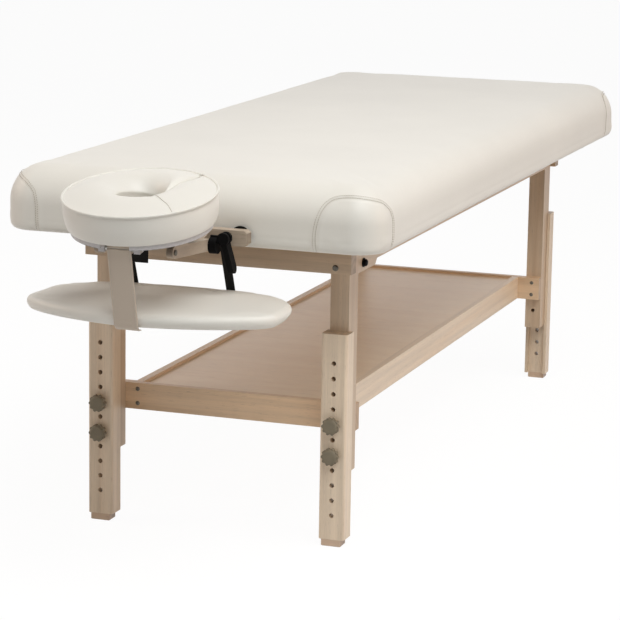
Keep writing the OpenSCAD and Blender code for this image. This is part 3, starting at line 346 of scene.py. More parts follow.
def board_with_painted_shade(name, rim, under, rough=0.5):
    """Board with pale paint on its rim and face. The faces that look down get a near-black colour,
    which is painted shade for the dark shadow line under the board.
    """
    p = Paint(name)
    height = p.node("SeparateXYZ", {0: p.node("TexCoord").outputs["Normal"]}).outputs[2]
    brushed = p.noise(p.place, 240.0, 3.0, 0.6)
    # Painted shade: faces that look downwards blend to the near-black under colour
    base = p.blend(p.remap(height, -0.3, -0.5), rim, under)
    p.color(p.tint(base, p.remap(brushed, 0.3, 0.7, 0.94, 1.05)))
    p.rough(p.remap(brushed, 0.3, 0.7, rough - 0.06, rough + 0.08))
    p.bump(brushed, 0.00008, 0.5)
    return p.material


def plated_steel(name, color, rough=0.34):
    """Zinc-plated steel with a brushed, slightly clouded face."""
    p = Paint(name, Metallic=1.0)
    cloud = p.noise(p.place, 60.0, 4.0, 0.6)
    brushed = p.noise(p.stretched((1, 0.08, 1)), 900.0, 3.0, 0.6)
    p.color(p.tint(color, p.remap(cloud, 0.3, 0.7, 0.86, 1.08)))
    p.rough(p.remap(brushed, 0.3, 0.7, rough - 0.06, rough + 0.1))
    p.bump(brushed, 0.00003, 0.5)
    return p.material


def webbing(name, color):
    """Woven strap: ribs across the strap and warp threads along it, painted lighter on their tops
    and darker in the dips between them as light and shade.
    """
    p = Paint(name, Specular_IOR_Level=0.2, Sheen_Weight=0.03, Sheen_Roughness=0.5)
    split = p.node("SeparateXYZ", {0: p.place})
    warp = p.math("SINE", p.math("MULTIPLY", split.outputs[0], 2 * math.pi / 0.0016))
    weft = p.math("SINE", p.math("MULTIPLY", split.outputs[2], 2 * math.pi / 0.0011))
    weave = p.remap(p.math("MULTIPLY", warp, weft), -1, 1)
    fuzz = p.noise(p.place, 1800.0, 2.0)
    # Painted light and shade: the weave's raised tops are lighter and its dips darker, following
    # its bump
    p.color(p.tint(color, p.math("MULTIPLY", p.remap(weave, 0, 1, 0.6, 1.25),
                                 p.remap(fuzz, 0.3, 0.7, 0.85, 1.15))))
    p.rough(0.85)
    p.bump(weave, 0.0003, 0.8)
    return p.material


def thread(name, color):
    p = Paint(name, Sheen_Weight=0.2)
    twist = p.noise(p.place, 2600.0, 2.0)
    p.color(p.tint(color, p.remap(twist, 0.3, 0.7, 0.8, 1.15)))
    p.rough(0.7)
    p.bump(twist, 0.0001, 0.6)
    return p.material


MAPLE_LIGHT, MAPLE_DARK = (0.72, 0.575, 0.43), (0.52, 0.365, 0.235)
PALE_LIGHT, PALE_DARK = (0.90, 0.76, 0.60), (0.70, 0.535, 0.38)
CRADLE_LIGHT, CRADLE_DARK = (0.53, 0.44, 0.35), (0.38, 0.29, 0.21)
RAIL_LIGHT, RAIL_DARK = (0.88, 0.66, 0.455), (0.64, 0.43, 0.26)


def make_materials():
    m = {}
    for axis in "XYZ":
        m["maple_" + axis] = wood("maple_" + axis, axis, MAPLE_LIGHT, MAPLE_DARK, 0.75)
    m["cradle_X"] = wood("cradle_maple_X", "X", CRADLE_LIGHT, CRADLE_DARK, 0.5)
    m["cradle_Y"] = wood("cradle_maple_Y", "Y", CRADLE_LIGHT, CRADLE_DARK, 0.5)
    m["pale_Z"] = wood("pale_maple_Z", "Z", PALE_LIGHT, PALE_DARK, 0.75, 12.0)
    m["rail_X"] = wood("rail_maple_X", "X", RAIL_LIGHT, RAIL_DARK, 0.65, 20.0)
    m["rail_Y"] = wood("rail_maple_Y", "Y", PALE_LIGHT, RAIL_LIGHT, 0.6, 18.0)
    m["pine_X"] = wood("pine_X", "X", (0.70, 0.54, 0.36), (0.5, 0.33, 0.17), 0.9, 26.0, 0.6)
    m["shelf_ply"] = plywood("shelf_plywood", "X", (0.95, 0.79, 0.60), (0.84, 0.64, 0.46), "Z")
    m["deck_ply"] = plywood("deck_plywood", "X", (0.70, 0.56, 0.40), (0.55, 0.40, 0.26), "Z")
    # The plate's near-black under colour is painted shade for the shadow line beneath the face
    # pillow
    m["plate"] = board_with_painted_shade("plate_board_painted_shade", (0.60, 0.585, 0.60), (0.03, 0.026, 0.024))
    m["vinyl"] = vinyl("cream_vinyl", (0.83, 0.815, 0.765))
    m["band"] = vinyl("band_vinyl", (0.59, 0.505, 0.42), 0.5, 1100.0, 0.00009, 0.03)
    m["black"] = moulded("black_plastic", (0.004, 0.004, 0.0042), 0.6, level=0.07)
    m["knob"] = moulded("knob_plastic", (0.23, 0.2, 0.145), 0.55, level=0.3)
    m["foot"] = wood("foot_block", "X", (0.74, 0.56, 0.42), (0.6, 0.43, 0.30), 0.5)
    m["steel"] = plated_steel("plated_steel", (0.5, 0.48, 0.44))
    m["bolt"] = plated_steel("bolt_steel", (0.15, 0.14, 0.12), 0.5)
    m["webbing"] = webbing("black_webbing", (0.012, 0.0115, 0.011))
    m["thread"] = thread("seam_thread", (0.42, 0.37, 0.30))
    m["pale_thread"] = thread("pale_thread", (0.55, 0.52, 0.46))
    return m


def dress_solids(m):
    """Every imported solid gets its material. Board edges get a small rounding that catches light,
    after the flat facets round drilled holes are joined, so that the rounding leaves no creases."""
    by_name = {
        "deck_panel": "deck_ply", "deck_frame": "pine_X", "deck_bearers": "pine_X",
        "apron_head": "maple_X", "apron_foot": "maple_X", "apron_left": "maple_Y",
        "apron_right": "maple_Y", "apron_bolts": "bolt", "leg_bolt_caps": "black",
        "threaded_inserts": "steel", "shelf_panel": "shelf_ply", "shelf_rail_head": "rail_X",
        "shelf_rail_foot": "rail_X", "shelf_rail_left": "rail_Y", "shelf_rail_right": "rail_Y",
        "shelf_screws": "bolt", "cradle_sockets": "black", "cradle_crossbar": "cradle_X",
        "cradle_dowels": "maple_Y", "tilt_rod": "black", "cam_lever": "black",
        "cradle_arm_left": "cradle_Y", "cradle_arm_right": "cradle_Y", "cradle_plate": "plate",
        "front_rod": "steel", "armrest_board": "deck_ply", "arm_bolts": "bolt",
    }
    starts = {"upper_leg": "maple_Z", "lower_leg": "pale_Z", "foot_": "foot", "knob_": "knob",
              "stud_": "steel"}
    rounded = {"maple": 0.9, "pale": 1.0, "rail": 0.9, "pine": 0.8, "foot": 0.6, "cradle": 1.0,
               "plate": 1.0}
    for name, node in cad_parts.items():
        key = by_name.get(name)
        for start, found in starts.items():
            if name.startswith(start):
                key = found
        node.data.materials.clear()
        node.data.materials.append(m[key or "vinyl"])
        size = rounded.get((key or "").split("_")[0])
        if size:
            weld = node.modifiers.new("weld", "WELD")
            weld.merge_threshold = 0.01 * MM
            flat = node.modifiers.new("flat", "DECIMATE")
            flat.decimate_type = "DISSOLVE"
            flat.angle_limit = math.radians(0.5)
            bevel = node.modifiers.new("bevel", "BEVEL")
            bevel.width = size * MM
            bevel.segments = 2
            bevel.limit_method = "ANGLE"
            bevel.angle_limit = math.radians(40)
            bevel.harden_normals = True


# ---------------------------------------------------------------- mesh helpers

def mesh_object(name, points, faces, material):
    mesh = bpy.data.meshes.new(name)
    mesh.from_pydata([tuple(p) for p in points], [], faces)
    mesh.validate()
    mesh.update()
    mesh.polygons.foreach_set("use_smooth", [True] * len(mesh.polygons))
    mesh.materials.append(material)
    made = bpy.data.objects.new(name, mesh)
    bpy.context.scene.collection.objects.link(made)
    return made


def finish_piece(piece, body, replaces=()):
    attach(piece, body)
    if replaces:
        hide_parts(*replaces)
    return piece


def grid_faces(rows, n):
    """Quads between successive rings of n points."""
    return [(r * n + i, r * n + (i + 1) % n, (r + 1) * n + (i + 1) % n, (r + 1) * n + i)
            for r in range(rows - 1) for i in range(n)]


SWELL_FRAMES = 20


def swell(points, faces, held, cap, pressure):
    """Lets air pressure push a closed cloth outwards. Points in held stay. Returns how far each
    point moved, with a soft cap."""
    points = np.asarray(points, float)
    mesh = bpy.data.meshes.new("swelling")
    mesh.from_pydata([tuple(p) for p in points], [], faces)
    body = bpy.data.objects.new("swelling", mesh)
    bpy.context.scene.collection.objects.link(body)
    group = body.vertex_groups.new(name="held")
    group.add([int(i) for i in held], 1.0, "ADD")
    cloth = body.modifiers.new("cloth", "CLOTH")
    settings = cloth.settings
    settings.quality = 5
    settings.use_pressure = True
    settings.uniform_pressure_force = pressure
    settings.effector_weights.gravity = 0
    settings.vertex_group_mass = "held"
    settings.tension_stiffness = 15
    settings.compression_stiffness = 15
    settings.shear_stiffness = 5
    settings.bending_stiffness = 0.5
    cloth.collision_settings.use_collision = False
    cloth.point_cache.frame_start = 1
    cloth.point_cache.frame_end = SWELL_FRAMES
    scene = bpy.context.scene
    for number in range(1, SWELL_FRAMES + 1):
        scene.frame_set(number)
    done = body.evaluated_get(bpy.context.evaluated_depsgraph_get()).to_mesh()
    moved = np.array([v.co for v in done.vertices], float) - points
    body.evaluated_get(bpy.context.evaluated_depsgraph_get()).to_mesh_clear()
    scene.frame_set(1)
    bpy.data.objects.remove(body)
    length = np.linalg.norm(moved, axis=1, keepdims=True)
    return moved * (cap * np.tanh(length / cap) / np.maximum(length, 1e-9))


def stitches(name, line, normals, pitch, length, radius, material):
    """Short stitches laid along a line of points on a surface: each a little rounded bar whose
    ends dip into the skin."""
    line, normals = np.asarray(line, float), np.asarray(normals, float)
    steps = np.linalg.norm(np.diff(line, axis=0), axis=1)
    run = np.concatenate([[0], np.cumsum(steps)])
    sides, along = 6, (-0.5, -0.36, -0.15, 0.15, 0.36, 0.5)
    swell_by = (0.25, 0.85, 1.0, 1.0, 0.85, 0.25)
    points, faces = [], []
    for number in range(int(run[-1] / pitch)):
        at = (number + 0.5) * pitch
        rings = []
        for share, fat in zip(along, swell_by):
            here = at + share * length
            centre = np.array([np.interp(here, run, line[:, k]) for k in range(3)])
            out = np.array([np.interp(here, run, normals[:, k]) for k in range(3)])
            ahead = np.array([np.interp(here + 0.0005, run, line[:, k])
                              - np.interp(here - 0.0005, run, line[:, k]) for k in range(3)])
            ahead /= max(np.linalg.norm(ahead), 1e-9)
            out /= np.linalg.norm(out)
            side = np.cross(ahead, out)
            dip = radius * (0.35 if abs(share) < 0.4 else -0.5)
            rings.append([centre + out * (dip + radius * fat * math.sin(a))
                          + side * radius * fat * math.cos(a)
                          for a in np.linspace(0, 2 * math.pi, sides, endpoint=False)])
        base = len(points)
        points += [p for ring in rings for p in ring]
        faces += [tuple(base + i for i in f) for f in grid_faces(len(rings), sides)]
        faces.append(tuple(base + i for i in reversed(range(sides))))
        faces.append(tuple(base + (len(rings) - 1) * sides + i for i in range(sides)))
    return mesh_object(name, points, faces, material)


def distance_to_line(points, line):
    """Distance of each point to a polyline."""
    best = np.full(len(points), 1e9)
    for a, b in zip(line[:-1], line[1:]):
        ab = b - a
        t = np.clip((points - a) @ ab / max(ab @ ab, 1e-12), 0, 1)
        best = np.minimum(best, np.linalg.norm(points - (a + t[:, None] * ab), axis=1))
    return best


def smooth_line(points, count):
    """Catmull-Rom curve through the points."""
    points = np.asarray(points, float)
    ends = np.vstack([2 * points[0] - points[1], points, 2 * points[-1] - points[-2]])
    out = []
    for t in np.linspace(0, len(points) - 1, count):
        i = min(int(t), len(points) - 2)
        f = t - i
        a, b, c, d = ends[i:i + 4]
        out.append(0.5 * (2 * b + (c - a) * f + (2 * a - 5 * b + 4 * c - d) * f * f
                          + (3 * b - a - 3 * c + d) * f ** 3))
    return np.array(out)


# ---------------------------------------------------------------- padded top

TOP_X, TOP_Y = 364 * MM, 927 * MM
CORNER_R = 62 * MM
UNDER_Z, FOAM_Z, EDGE_Z = 574 * MM, 623 * MM, 690.5 * MM
TUCK_W, TUCK_H = 13 * MM, 27 * MM
ROLL_W, ROLL_H = 60 * MM, 67.5 * MM
CROWN, WAIST = 7 * MM, 3 * MM
WRAP = 9 * MM
CUSHION_SWELL = 3.0 * MM
ARC = CORNER_R * math.pi / 2
EDGES = [2 * (TOP_X - CORNER_R), 2 * (TOP_Y - CORNER_R)] * 2
AROUND = 4 * ARC + sum(EDGES)


def girth_table():
    """Girth, inset and height along the side of the cushion, from its bottom edge to the end of
    the roll."""
    turn = np.linspace(0, math.pi / 2, 200)
    inset = np.concatenate([TUCK_W * (1 - np.sin(turn)), ROLL_W * (1 - np.cos(turn))])
    height = np.concatenate([UNDER_Z + TUCK_H * (1 - np.cos(turn)), FOAM_Z + ROLL_H * np.sin(turn)])
    run = np.concatenate([[0], np.cumsum(np.hypot(np.diff(inset), np.diff(height)))])
    return run, inset, height


GIRTH, GIRTH_INSET, GIRTH_HEIGHT = girth_table()
ROLL_END = GIRTH[-1]
CROWN_RUN = TOP_X - ROLL_W


def outline(s, hx, hy, r):
    """Points of a rounded rectangle at arc lengths s of the widest outline, which start at the
    beginning of the first corner."""
    s = np.mod(s, AROUND)
    out = np.zeros((len(s), 2))
    start = 0.0
    for k in range(4):
        centre = np.array([(hx - r) * (1, -1, -1, 1)[k], (hy - r) * (1, 1, -1, -1)[k]])
        after = np.array([(hx - r) * (-1, -1, 1, 1)[k], (hy - r) * (1, -1, -1, 1)[k]])
        on_arc = (s >= start) & (s < start + ARC)
        angle = math.pi / 2 * (k + (s[on_arc] - start) / ARC)
        out[on_arc] = centre + r * np.stack([np.cos(angle), np.sin(angle)], 1)
        start += ARC
        on_edge = (s >= start) & (s < start + EDGES[k])
        f = ((s[on_edge] - start) / EDGES[k])[:, None]
        turn = math.pi / 2 * (k + 1)
        offset = r * np.array([math.cos(turn), math.sin(turn)])
        out[on_edge] = (centre + offset) * (1 - f) + (after + offset) * f
        start += EDGES[k]
    return out


def cushion_row(s, v):
    """Points of the cushion's skin at arc lengths s, for one girth v. Past the roll, v runs over
    the crown to the middle."""
    if v <= ROLL_END:
        inset = np.interp(v, GIRTH, GIRTH_INSET)
        z = np.interp(v, GIRTH, GIRTH_HEIGHT)
        flat = outline(s, TOP_X - inset, TOP_Y - inset, max(CORNER_R - inset, CORNER_R / 4))
    else:
        share = 1 - (v - ROLL_END) / CROWN_RUN
        half = (TOP_X - ROLL_W) * share
        r = min(CORNER_R / 4 * (2 - share), 0.9 * half)
        flat = outline(s, half, TOP_Y - ROLL_W - (1 - share) * (TOP_X - ROLL_W), r)
        z = EDGE_Z + CROWN * (1 - share * share)
    x, y = flat[:, 0], flat[:, 1]
    pull_x = WAIST * np.maximum(0, 1 - (y / (TOP_Y - CORNER_R)) ** 2) * (np.abs(x) / TOP_X) ** 4
    pull_y = WAIST * np.maximum(0, 1 - (x / (TOP_X - CORNER_R)) ** 2) * (np.abs(y) / TOP_Y) ** 4
    return np.stack([x - np.sign(x) * pull_x, y - np.sign(y) * pull_y, np.full(len(s), z)], 1)


def cushion_stations(arc_n, near_n, near, far_n):
    """Arc lengths of the stations: even round the corners, close by them, and wider between.
    Each edge has an odd number of them, so that the outline is symmetrical."""
    out, start = [], 0.0
    for edge in EDGES:
        out += [start + ARC * i / arc_n for i in range(arc_n + 1)]
        start += ARC
        close = [near * (i + 1) / near_n for i in range(near_n)]
        wide = [near + (edge - 2 * near) * i / (far_n + 1) for i in range(1, far_n + 1)]
        out += [start + f for f in close + wide] + [start + edge - f for f in reversed(close)]
        start += edge
    return np.array(out)


# Stations of the cushion's outline: round a corner, close by it, how far that reaches, and between
COARSE, FINE = (6, 3, 60 * MM, 17), (34, 30, 84 * MM, 41)


def middle_station(stations):
    """The station in the middle of the first edge."""
    arc_n, near_n, _, far_n = stations
    return arc_n + 1 + (2 * near_n + far_n) // 2


def fill_across(n, middle, start, up):
    """Faces that close a ring of n points which is symmetrical about the points middle and its
    opposite."""
    faces = [(start + middle, start + (middle + 1) % n, start + (middle - 1) % n)]
    for k in range(1, n // 2 - 1):
        a, b = (middle + k) % n, (middle + k + 1) % n
        c, d = (middle - k) % n, (middle - k - 1) % n
        faces.append((start + a, start + b, start + d, start + c))
    k = n // 2 - 1
    faces.append((start + (middle + k) % n, start + (middle + k + 1) % n, start + (middle - k) % n))
    return faces if up else [tuple(reversed(f)) for f in faces]


def cushion_swell():
    """How far air pressure moves the skin on a coarse grid: stations, rows and the moves."""
    s = cushion_stations(*COARSE)
    rows = list(np.linspace(0, ROLL_END, 13)) + list(
        ROLL_END + CROWN_RUN * np.linspace(0, 0.93, 14)[1:])
    points = np.vstack([cushion_row(s, v) for v in rows])
    n = len(s)
    faces = grid_faces(len(rows), n)
    middle = middle_station(COARSE)
    faces += fill_across(n, middle, (len(rows) - 1) * n, True)
    faces += fill_across(n, middle, 0, False)
    moved = swell(points, faces, range(2 * n), CUSHION_SWELL, 3.0)
    return s, np.array(rows), moved.reshape(len(rows), n, 3)


# The corner panel's seam, as arc length from the corner's middle and girth, in mm
PANEL_SEAM = [(-105, 0), (-105, 39), (-101, 62), (-95, 81), (-87, 95), (-75, 105), (-55, 110),
              (-27, 110), (7, 105), (34, 97), (52, 84), (59, 71), (62.5, 48), (62.5, 0)]
SEAM_OFFSET = 4.6
SEAM_DEPTH, SEAM_HALF = 1.1 * MM, 1.7 * MM
PUFF, PUFF_AT, PUFF_HALF = 0.5 * MM, 7 * MM, 4 * MM
STITCH_PITCH = 4.2 * MM
# Room between the deck and the cushion's pocket that it sits in
POCKET_GAP = 0.3 * MM


def skin_normal(points):
    """Outward direction of the cushion at points of its skin, from the middle of its roll."""
    inner = np.stack([np.clip(points[:, 0], ROLL_W - TOP_X, TOP_X - ROLL_W),
                      np.clip(points[:, 1], ROLL_W - TOP_Y, TOP_Y - ROLL_W),
                      np.minimum(points[:, 2], FOAM_Z)], 1)
    out = (points - inner) / np.array([ROLL_W, ROLL_W, ROLL_H])
    length = np.linalg.norm(out, axis=1, keepdims=True)
    return np.where(length > 1e-6, out / np.maximum(length, 1e-9), [0, 0, 1])


def on_skin(flat, corner):
    """Points of the skin at (arc length from a corner's middle, girth) pairs in mm."""
    middle = ARC / 2 + corner * ARC + sum(EDGES[:corner])
    return np.vstack([cushion_row(np.array([middle + s * MM]), v * MM) for s, v in flat])


def offset_line(flat, by):
    """The line moved sideways, to its left."""
    ahead = np.gradient(flat, axis=0)
    ahead /= np.linalg.norm(ahead, axis=1, keepdims=True)
    return flat + by * np.stack([ahead[:, 1] * -1, ahead[:, 0]], 1)


def build_cushion(m):
    s = cushion_stations(*FINE)
    n = len(s)
    rows = list(np.linspace(0, 118, 48) * MM) + list(np.linspace(121, 154, 8) * MM) + list(
        ROLL_END + CROWN_RUN * np.linspace(0, 0.975, 30)[1:])
    points = np.vstack([cushion_row(s, v) for v in rows])
    coarse_s, coarse_rows, moved = cushion_swell()
    wrapped = np.concatenate([coarse_s, [coarse_s[0] + AROUND]])
    moved = np.concatenate([moved, moved[:, :1]], 1)
    by_station = np.stack([[np.interp(s, wrapped, moved[r, :, k]) for k in range(3)]
                           for r in range(len(coarse_rows))])
    row_at = np.minimum(rows, coarse_rows[-1])
    fine = np.stack([[np.interp(row_at, coarse_rows, by_station[:, k, i]) for k in range(3)]
                     for i in range(n)])
    points += fine.transpose(2, 0, 1).reshape(-1, 3)
    normals = skin_normal(points)
    lift = np.zeros(len(points))
    for i, p in enumerate(points):
        hold = min(1.0, max(0.0, (p[2] - 0.60) / 0.06))
        slow = noise.noise(Vector((p[0] * 5.0, p[1] * 3.2, p[2] * 5.0 + 3.1)))
        quick = noise.noise(Vector((p[0] * 17.0, p[1] * 11.0, 7.7)))
        lift[i] = hold * (0.9 * slow + 0.28 * quick) * MM
    seams, lines = [], []
    for corner in range(4):
        flat = smooth_line(PANEL_SEAM, 120)
        seam = on_skin(flat, corner)
        near = distance_to_line(points, seam)
        lift -= SEAM_DEPTH * np.exp(-(near / SEAM_HALF) ** 2)
        lift += PUFF * np.exp(-((near - PUFF_AT) / PUFF_HALF) ** 2)
        seams.append(seam)
        lines.append(on_skin(offset_line(flat, SEAM_OFFSET), corner))
    points += normals * lift[:, None]
    points[:n] = cushion_row(s, 0)
    inner = outline(s, *(size - TUCK_W - WRAP + POCKET_GAP for size in (TOP_X, TOP_Y, CORNER_R)))
    rims = [np.column_stack([inner, np.full(n, z)]) for z in (UNDER_Z, FOAM_Z + POCKET_GAP)]
    every = np.vstack([rims[1], rims[0], points])
    every[:, 1] += TABLE_Y
    faces = grid_faces(len(rows) + 2, n)
    middle = middle_station(FINE)
    faces += fill_across(n, middle, len(every) - n, True)
    faces += fill_across(n, middle, 0, False)
    cushion = mesh_object("cushion", every, faces, m["vinyl"])
    finish_piece(cushion, "table", ["cushion_top"])
    shift = np.array([0, TABLE_Y, 0])
    for corner, paths in enumerate(zip(seams, lines)):
        for kind, path, sink, length, radius in (("seam", paths[0], 0.9, 3.4, 0.5),
                                                 ("topstitch", paths[1], 0.0, 2.9, 0.45)):
            normal = skin_normal(path)
            piece = stitches(f"cushion_{kind}_{corner}", path - normal * sink * MM + shift, normal,
                             STITCH_PITCH, length * MM, radius * MM, m["thread"])
            finish_piece(piece, "table")


# ---------------------------------------------------------------- face pillow

TILT = math.radians(10)
FRONT_ROD = np.array([0, -1205.018 * MM + TABLE_Y, 610.144 * MM])
PLATE_RISE, PLATE_BACK, PLATE_T = 5.7 * MM, 94 * MM, 8 * MM
PILLOW_R, PILLOW_BASE_R, PILLOW_H, PILLOW_CROWN = 131 * MM, 127 * MM, 53.5 * MM, 13 * MM
HOLE_X, HOLE_Y = 38 * MM, 47 * MM
SLIT_W, SLIT_BEARING, SLIT_SKEW = 3 * MM, math.radians(58), math.radians(75)
PIPING_R, PIPING_OUT, PIPING_END = 2.25 * MM, 1.0 * MM, 2.6 * MM
# Depth and half width of the dip beside the slit, and how far from the centre it is measured
SLIT_DIP, SLIT_DIP_HALF, SLIT_DIP_AT = 7.5 * MM, 9 * MM, 86 * MM
SIDE_BULGE, FOOT_ROUND, SHOULDER = 3.5 * MM, 2.5 * MM, 2.5 * MM
SINK, SINK_BEARING = 20 * MM, math.radians(112)
CREST_BEARING = math.radians(120)
PILLOW_SWELL = 2.2 * MM
SOFT_GAP = 0.4 * MM


def tilted(points):
    """Points given from the pillow's centre, in its tilted plane, in the frame of the part."""
    p = np.asarray(points, float) + [0, PLATE_BACK, 0]
    c, s = math.cos(TILT), math.sin(TILT)
    return np.stack([p[:, 0], p[:, 1] * c - p[:, 2] * s, p[:, 1] * s + p[:, 2] * c], 1) \
        + FRONT_ROD + [0, 0, PLATE_RISE]


def pillow_station(t):
    """Inner and outer ends of a section line of the pillow's ring."""
    rim, hole = (math.asin(SLIT_W / 2 / r) for r in (PILLOW_R, HOLE_Y))
    a = SLIT_BEARING + rim + t * (2 * math.pi - 2 * rim)
    b = a - SLIT_SKEW * (1 + math.cos(2 * math.pi * t)) / 2 + (hole - rim) * (1 - 2 * t)
    inner = np.array([HOLE_X * math.cos(b), HOLE_Y * math.sin(b)])
    return inner, np.array([math.cos(a), math.sin(a)])


PILLOW_SIDE = (0.0, 0.02, 0.08, 0.2, 0.35, 0.5, 0.65, 0.8, 0.92, 0.985)
PILLOW_TOP = (1.0, 0.975, 0.93, 0.87, 0.8, 0.72, 0.64, 0.56, 0.48, 0.4, 0.32, 0.25, 0.18, 0.12,
              0.07, 0.03, 0.0)
PILLOW_HOLE = (0.97, 0.9, 0.8, 0.66, 0.5, 0.34, 0.18, 0.06, 0.0)


def pillow_crown(share, bearing):
    """Rise of the top over the rim, at a share of the way from hole to rim. The crest lies near the
    hole at the front right and far from it at the back left."""
    lean = 0.66 + 0.2 * math.cos(bearing - CREST_BEARING)
    return PILLOW_CROWN * math.sin(math.pi * share ** lean)


def pillow_sink(share, bearing):
    """How far the top sinks towards the hole at the back left, where the face leans in."""
    side = max(0.0, math.cos(bearing - SINK_BEARING)) ** 1.4
    return SINK * side * (1 - share) ** 2.2


def pillow_section(t):
    inner, outer = pillow_station(t)
    from_slit = min(t, 1 - t) * 2 * math.pi * SLIT_DIP_AT
    dip = SLIT_DIP * math.exp(-(from_slit / SLIT_DIP_HALF) ** 2)
    low = PLATE_T + SOFT_GAP / 4
    rim_z = PLATE_T + PILLOW_H
    out = []
    for s in PILLOW_SIDE:
        r = PILLOW_BASE_R + (PILLOW_R - PILLOW_BASE_R) * s + SIDE_BULGE * math.sin(math.pi * s)
        r -= FOOT_ROUND * max(0, 1 - s / 0.08) ** 2
        out.append((*(outer * r), low + (PILLOW_H - SHOULDER) * s))
    bearing = math.atan2(outer[1], outer[0])
    for s in PILLOW_TOP:
        p = inner + (outer * PILLOW_R - inner) * s
        z = rim_z + pillow_crown(s, bearing) - pillow_sink(s, bearing)
        z -= dip * (1 - 0.65 * s) * min(1, 6 * (1 - s))
        out.append((*p, z))
    top = rim_z - dip - pillow_sink(0, bearing)
    for s in PILLOW_HOLE:
        lean = 1.0 + 0.05 * math.sin(math.pi * s)
        out.append((*(inner * lean), low + (top - low) * s * 0.98))
    return out


def build_pillow(m):
    count = 120
    rows = [pillow_section(t) for t in np.linspace(0, 1, count + 1)]
    width = len(rows[0])
    points = np.array([p for row in rows for p in row])
    faces = [(r * width + i, (r + 1) * width + i, (r + 1) * width + (i + 1) % width,
              r * width + (i + 1) % width) for r in range(count) for i in range(width)]
    faces.append(tuple(range(width)))
    faces.append(tuple(count * width + i for i in reversed(range(width))))
    held = [r * width + i for r in range(count + 1) for i in (0, width - 1)]
    held += [r * width + len(PILLOW_SIDE) for r in range(count + 1)]
    points = points + swell(points, faces, held, PILLOW_SWELL, 4.0)
    points[:, 2] = np.maximum(points[:, 2], PLATE_T + SOFT_GAP / 4)
    pillow = mesh_object("pillow", tilted(points), faces, m["vinyl"])
    bm = bmesh.new()
    bm.from_mesh(pillow.data)
    bmesh.ops.recalc_face_normals(bm, faces=bm.faces)
    bm.to_mesh(pillow.data)
    bm.free()
    smooth = pillow.modifiers.new("subdivision", "SUBSURF")
    smooth.levels = smooth.render_levels = 1
    apply_modifiers(pillow)
    carve_pillow_seam(pillow, m)
    finish_piece(pillow, "cradle_head", ["face_pillow"])
    build_piping(m)


# In the pillow's plane, in mm from its centre: the stitched seam, and a soft crease beside the hole
PILLOW_SEAM = [(47, -43), (54, -48), (65, -57), (78, -67), (91, -83), (99, -94)]
PILLOW_CREASE = [(36, -36), (45, -20), (49, 0), (49, 25), (52, 47), (58, 66)]
PILLOW_SEAM_DEPTH, PILLOW_SEAM_HALF = 1.0 * MM, 2.2 * MM
CREASE_DEPTH, CREASE_HALF = 2.6 * MM, 8 * MM


def apply_modifiers(piece):
    bpy.context.view_layer.update()
    done = piece.evaluated_get(bpy.context.evaluated_depsgraph_get())
    mesh = bpy.data.meshes.new_from_object(done)
    mesh.name = piece.data.name
    piece.modifiers.clear()
    piece.data = mesh


def pillow_top_height(x, y):
    """Height of the pillow's top over a point of its plane."""
    r = math.hypot(x, y)
    a = math.atan2(y, x)
    hole = 1 / math.sqrt((math.cos(a) / HOLE_X) ** 2 + (math.sin(a) / HOLE_Y) ** 2)
    s = min(max((r - hole) / (PILLOW_R - hole), 0), 1)
    return PLATE_T + PILLOW_H + pillow_crown(s, a) - pillow_sink(s, a)


def on_pillow(flat):
    """Smooth line on the pillow's top, through points of its plane in mm."""
    line = smooth_line([(x * MM, y * MM, 0) for x, y in flat], 60)
    line[:, 2] = [pillow_top_height(x, y) for x, y, _ in line]
    return tilted(line)


def carve_pillow_seam(pillow, m):
    """Presses the seam and the crease into the pillow's top, and sews the seam."""
    world, crease = on_pillow(PILLOW_SEAM), on_pillow(PILLOW_CREASE)
    up = np.array([0, -math.sin(TILT), math.cos(TILT)])
    co = np.array([v.co for v in pillow.data.vertices], float)
    for line, depth, half in ((world, PILLOW_SEAM_DEPTH, PILLOW_SEAM_HALF),
                              (crease, CREASE_DEPTH, CREASE_HALF)):
        co -= up * (depth * np.exp(-(distance_to_line(co, line) / half) ** 2))[:, None]
    pillow.data.vertices.foreach_set("co", co.ravel())
    pillow.data.update()
    piece = stitches("pillow_seam", world - up * 0.3 * MM, np.tile(up, (len(world), 1)), 3.6 * MM,
                     3.0 * MM, 0.5 * MM, m["thread"])
    finish_piece(piece, "cradle_head")


def tube(name, path, radius, material, sides=10):
    """Round bar along a path in the pillow's plane, with closed ends."""
    path = np.asarray(path, float)
    n = len(path)
    points = []
    for i, p in enumerate(path):
        ahead = path[min(i + 1, n - 1)] - path[max(i - 1, 0)]
        ahead = ahead / np.linalg.norm(ahead)
        up = np.array([0, -math.sin(TILT), math.cos(TILT)])
        side = np.cross(ahead, up)
        side /= np.linalg.norm(side)
        up = np.cross(side, ahead)
        points += [p + radius * (side * math.cos(a) + up * math.sin(a))
                   for a in np.linspace(0, 2 * math.pi, sides, endpoint=False)]
    faces = grid_faces(n, sides)
    faces.append(tuple(reversed(range(sides))))
    faces.append(tuple((n - 1) * sides + i for i in range(sides)))
    return mesh_object(name, points, faces, material)


def build_piping(m):
    """Piping round the pillow's rim. Its ends stop just short of the slit."""
    r, z = PILLOW_R + PIPING_OUT, PLATE_T + PILLOW_H
    gap = PIPING_END / r
    turn = np.linspace(SLIT_BEARING + gap, SLIT_BEARING + 2 * math.pi - gap, 200)
    path = [(r * math.cos(a), r * math.sin(a), z) for a in turn]
    piping = tube("pillow_piping", tilted(path), PIPING_R, m["vinyl"])
    finish_piece(piping, "cradle_head")


# ---------------------------------------------------------------- armrest

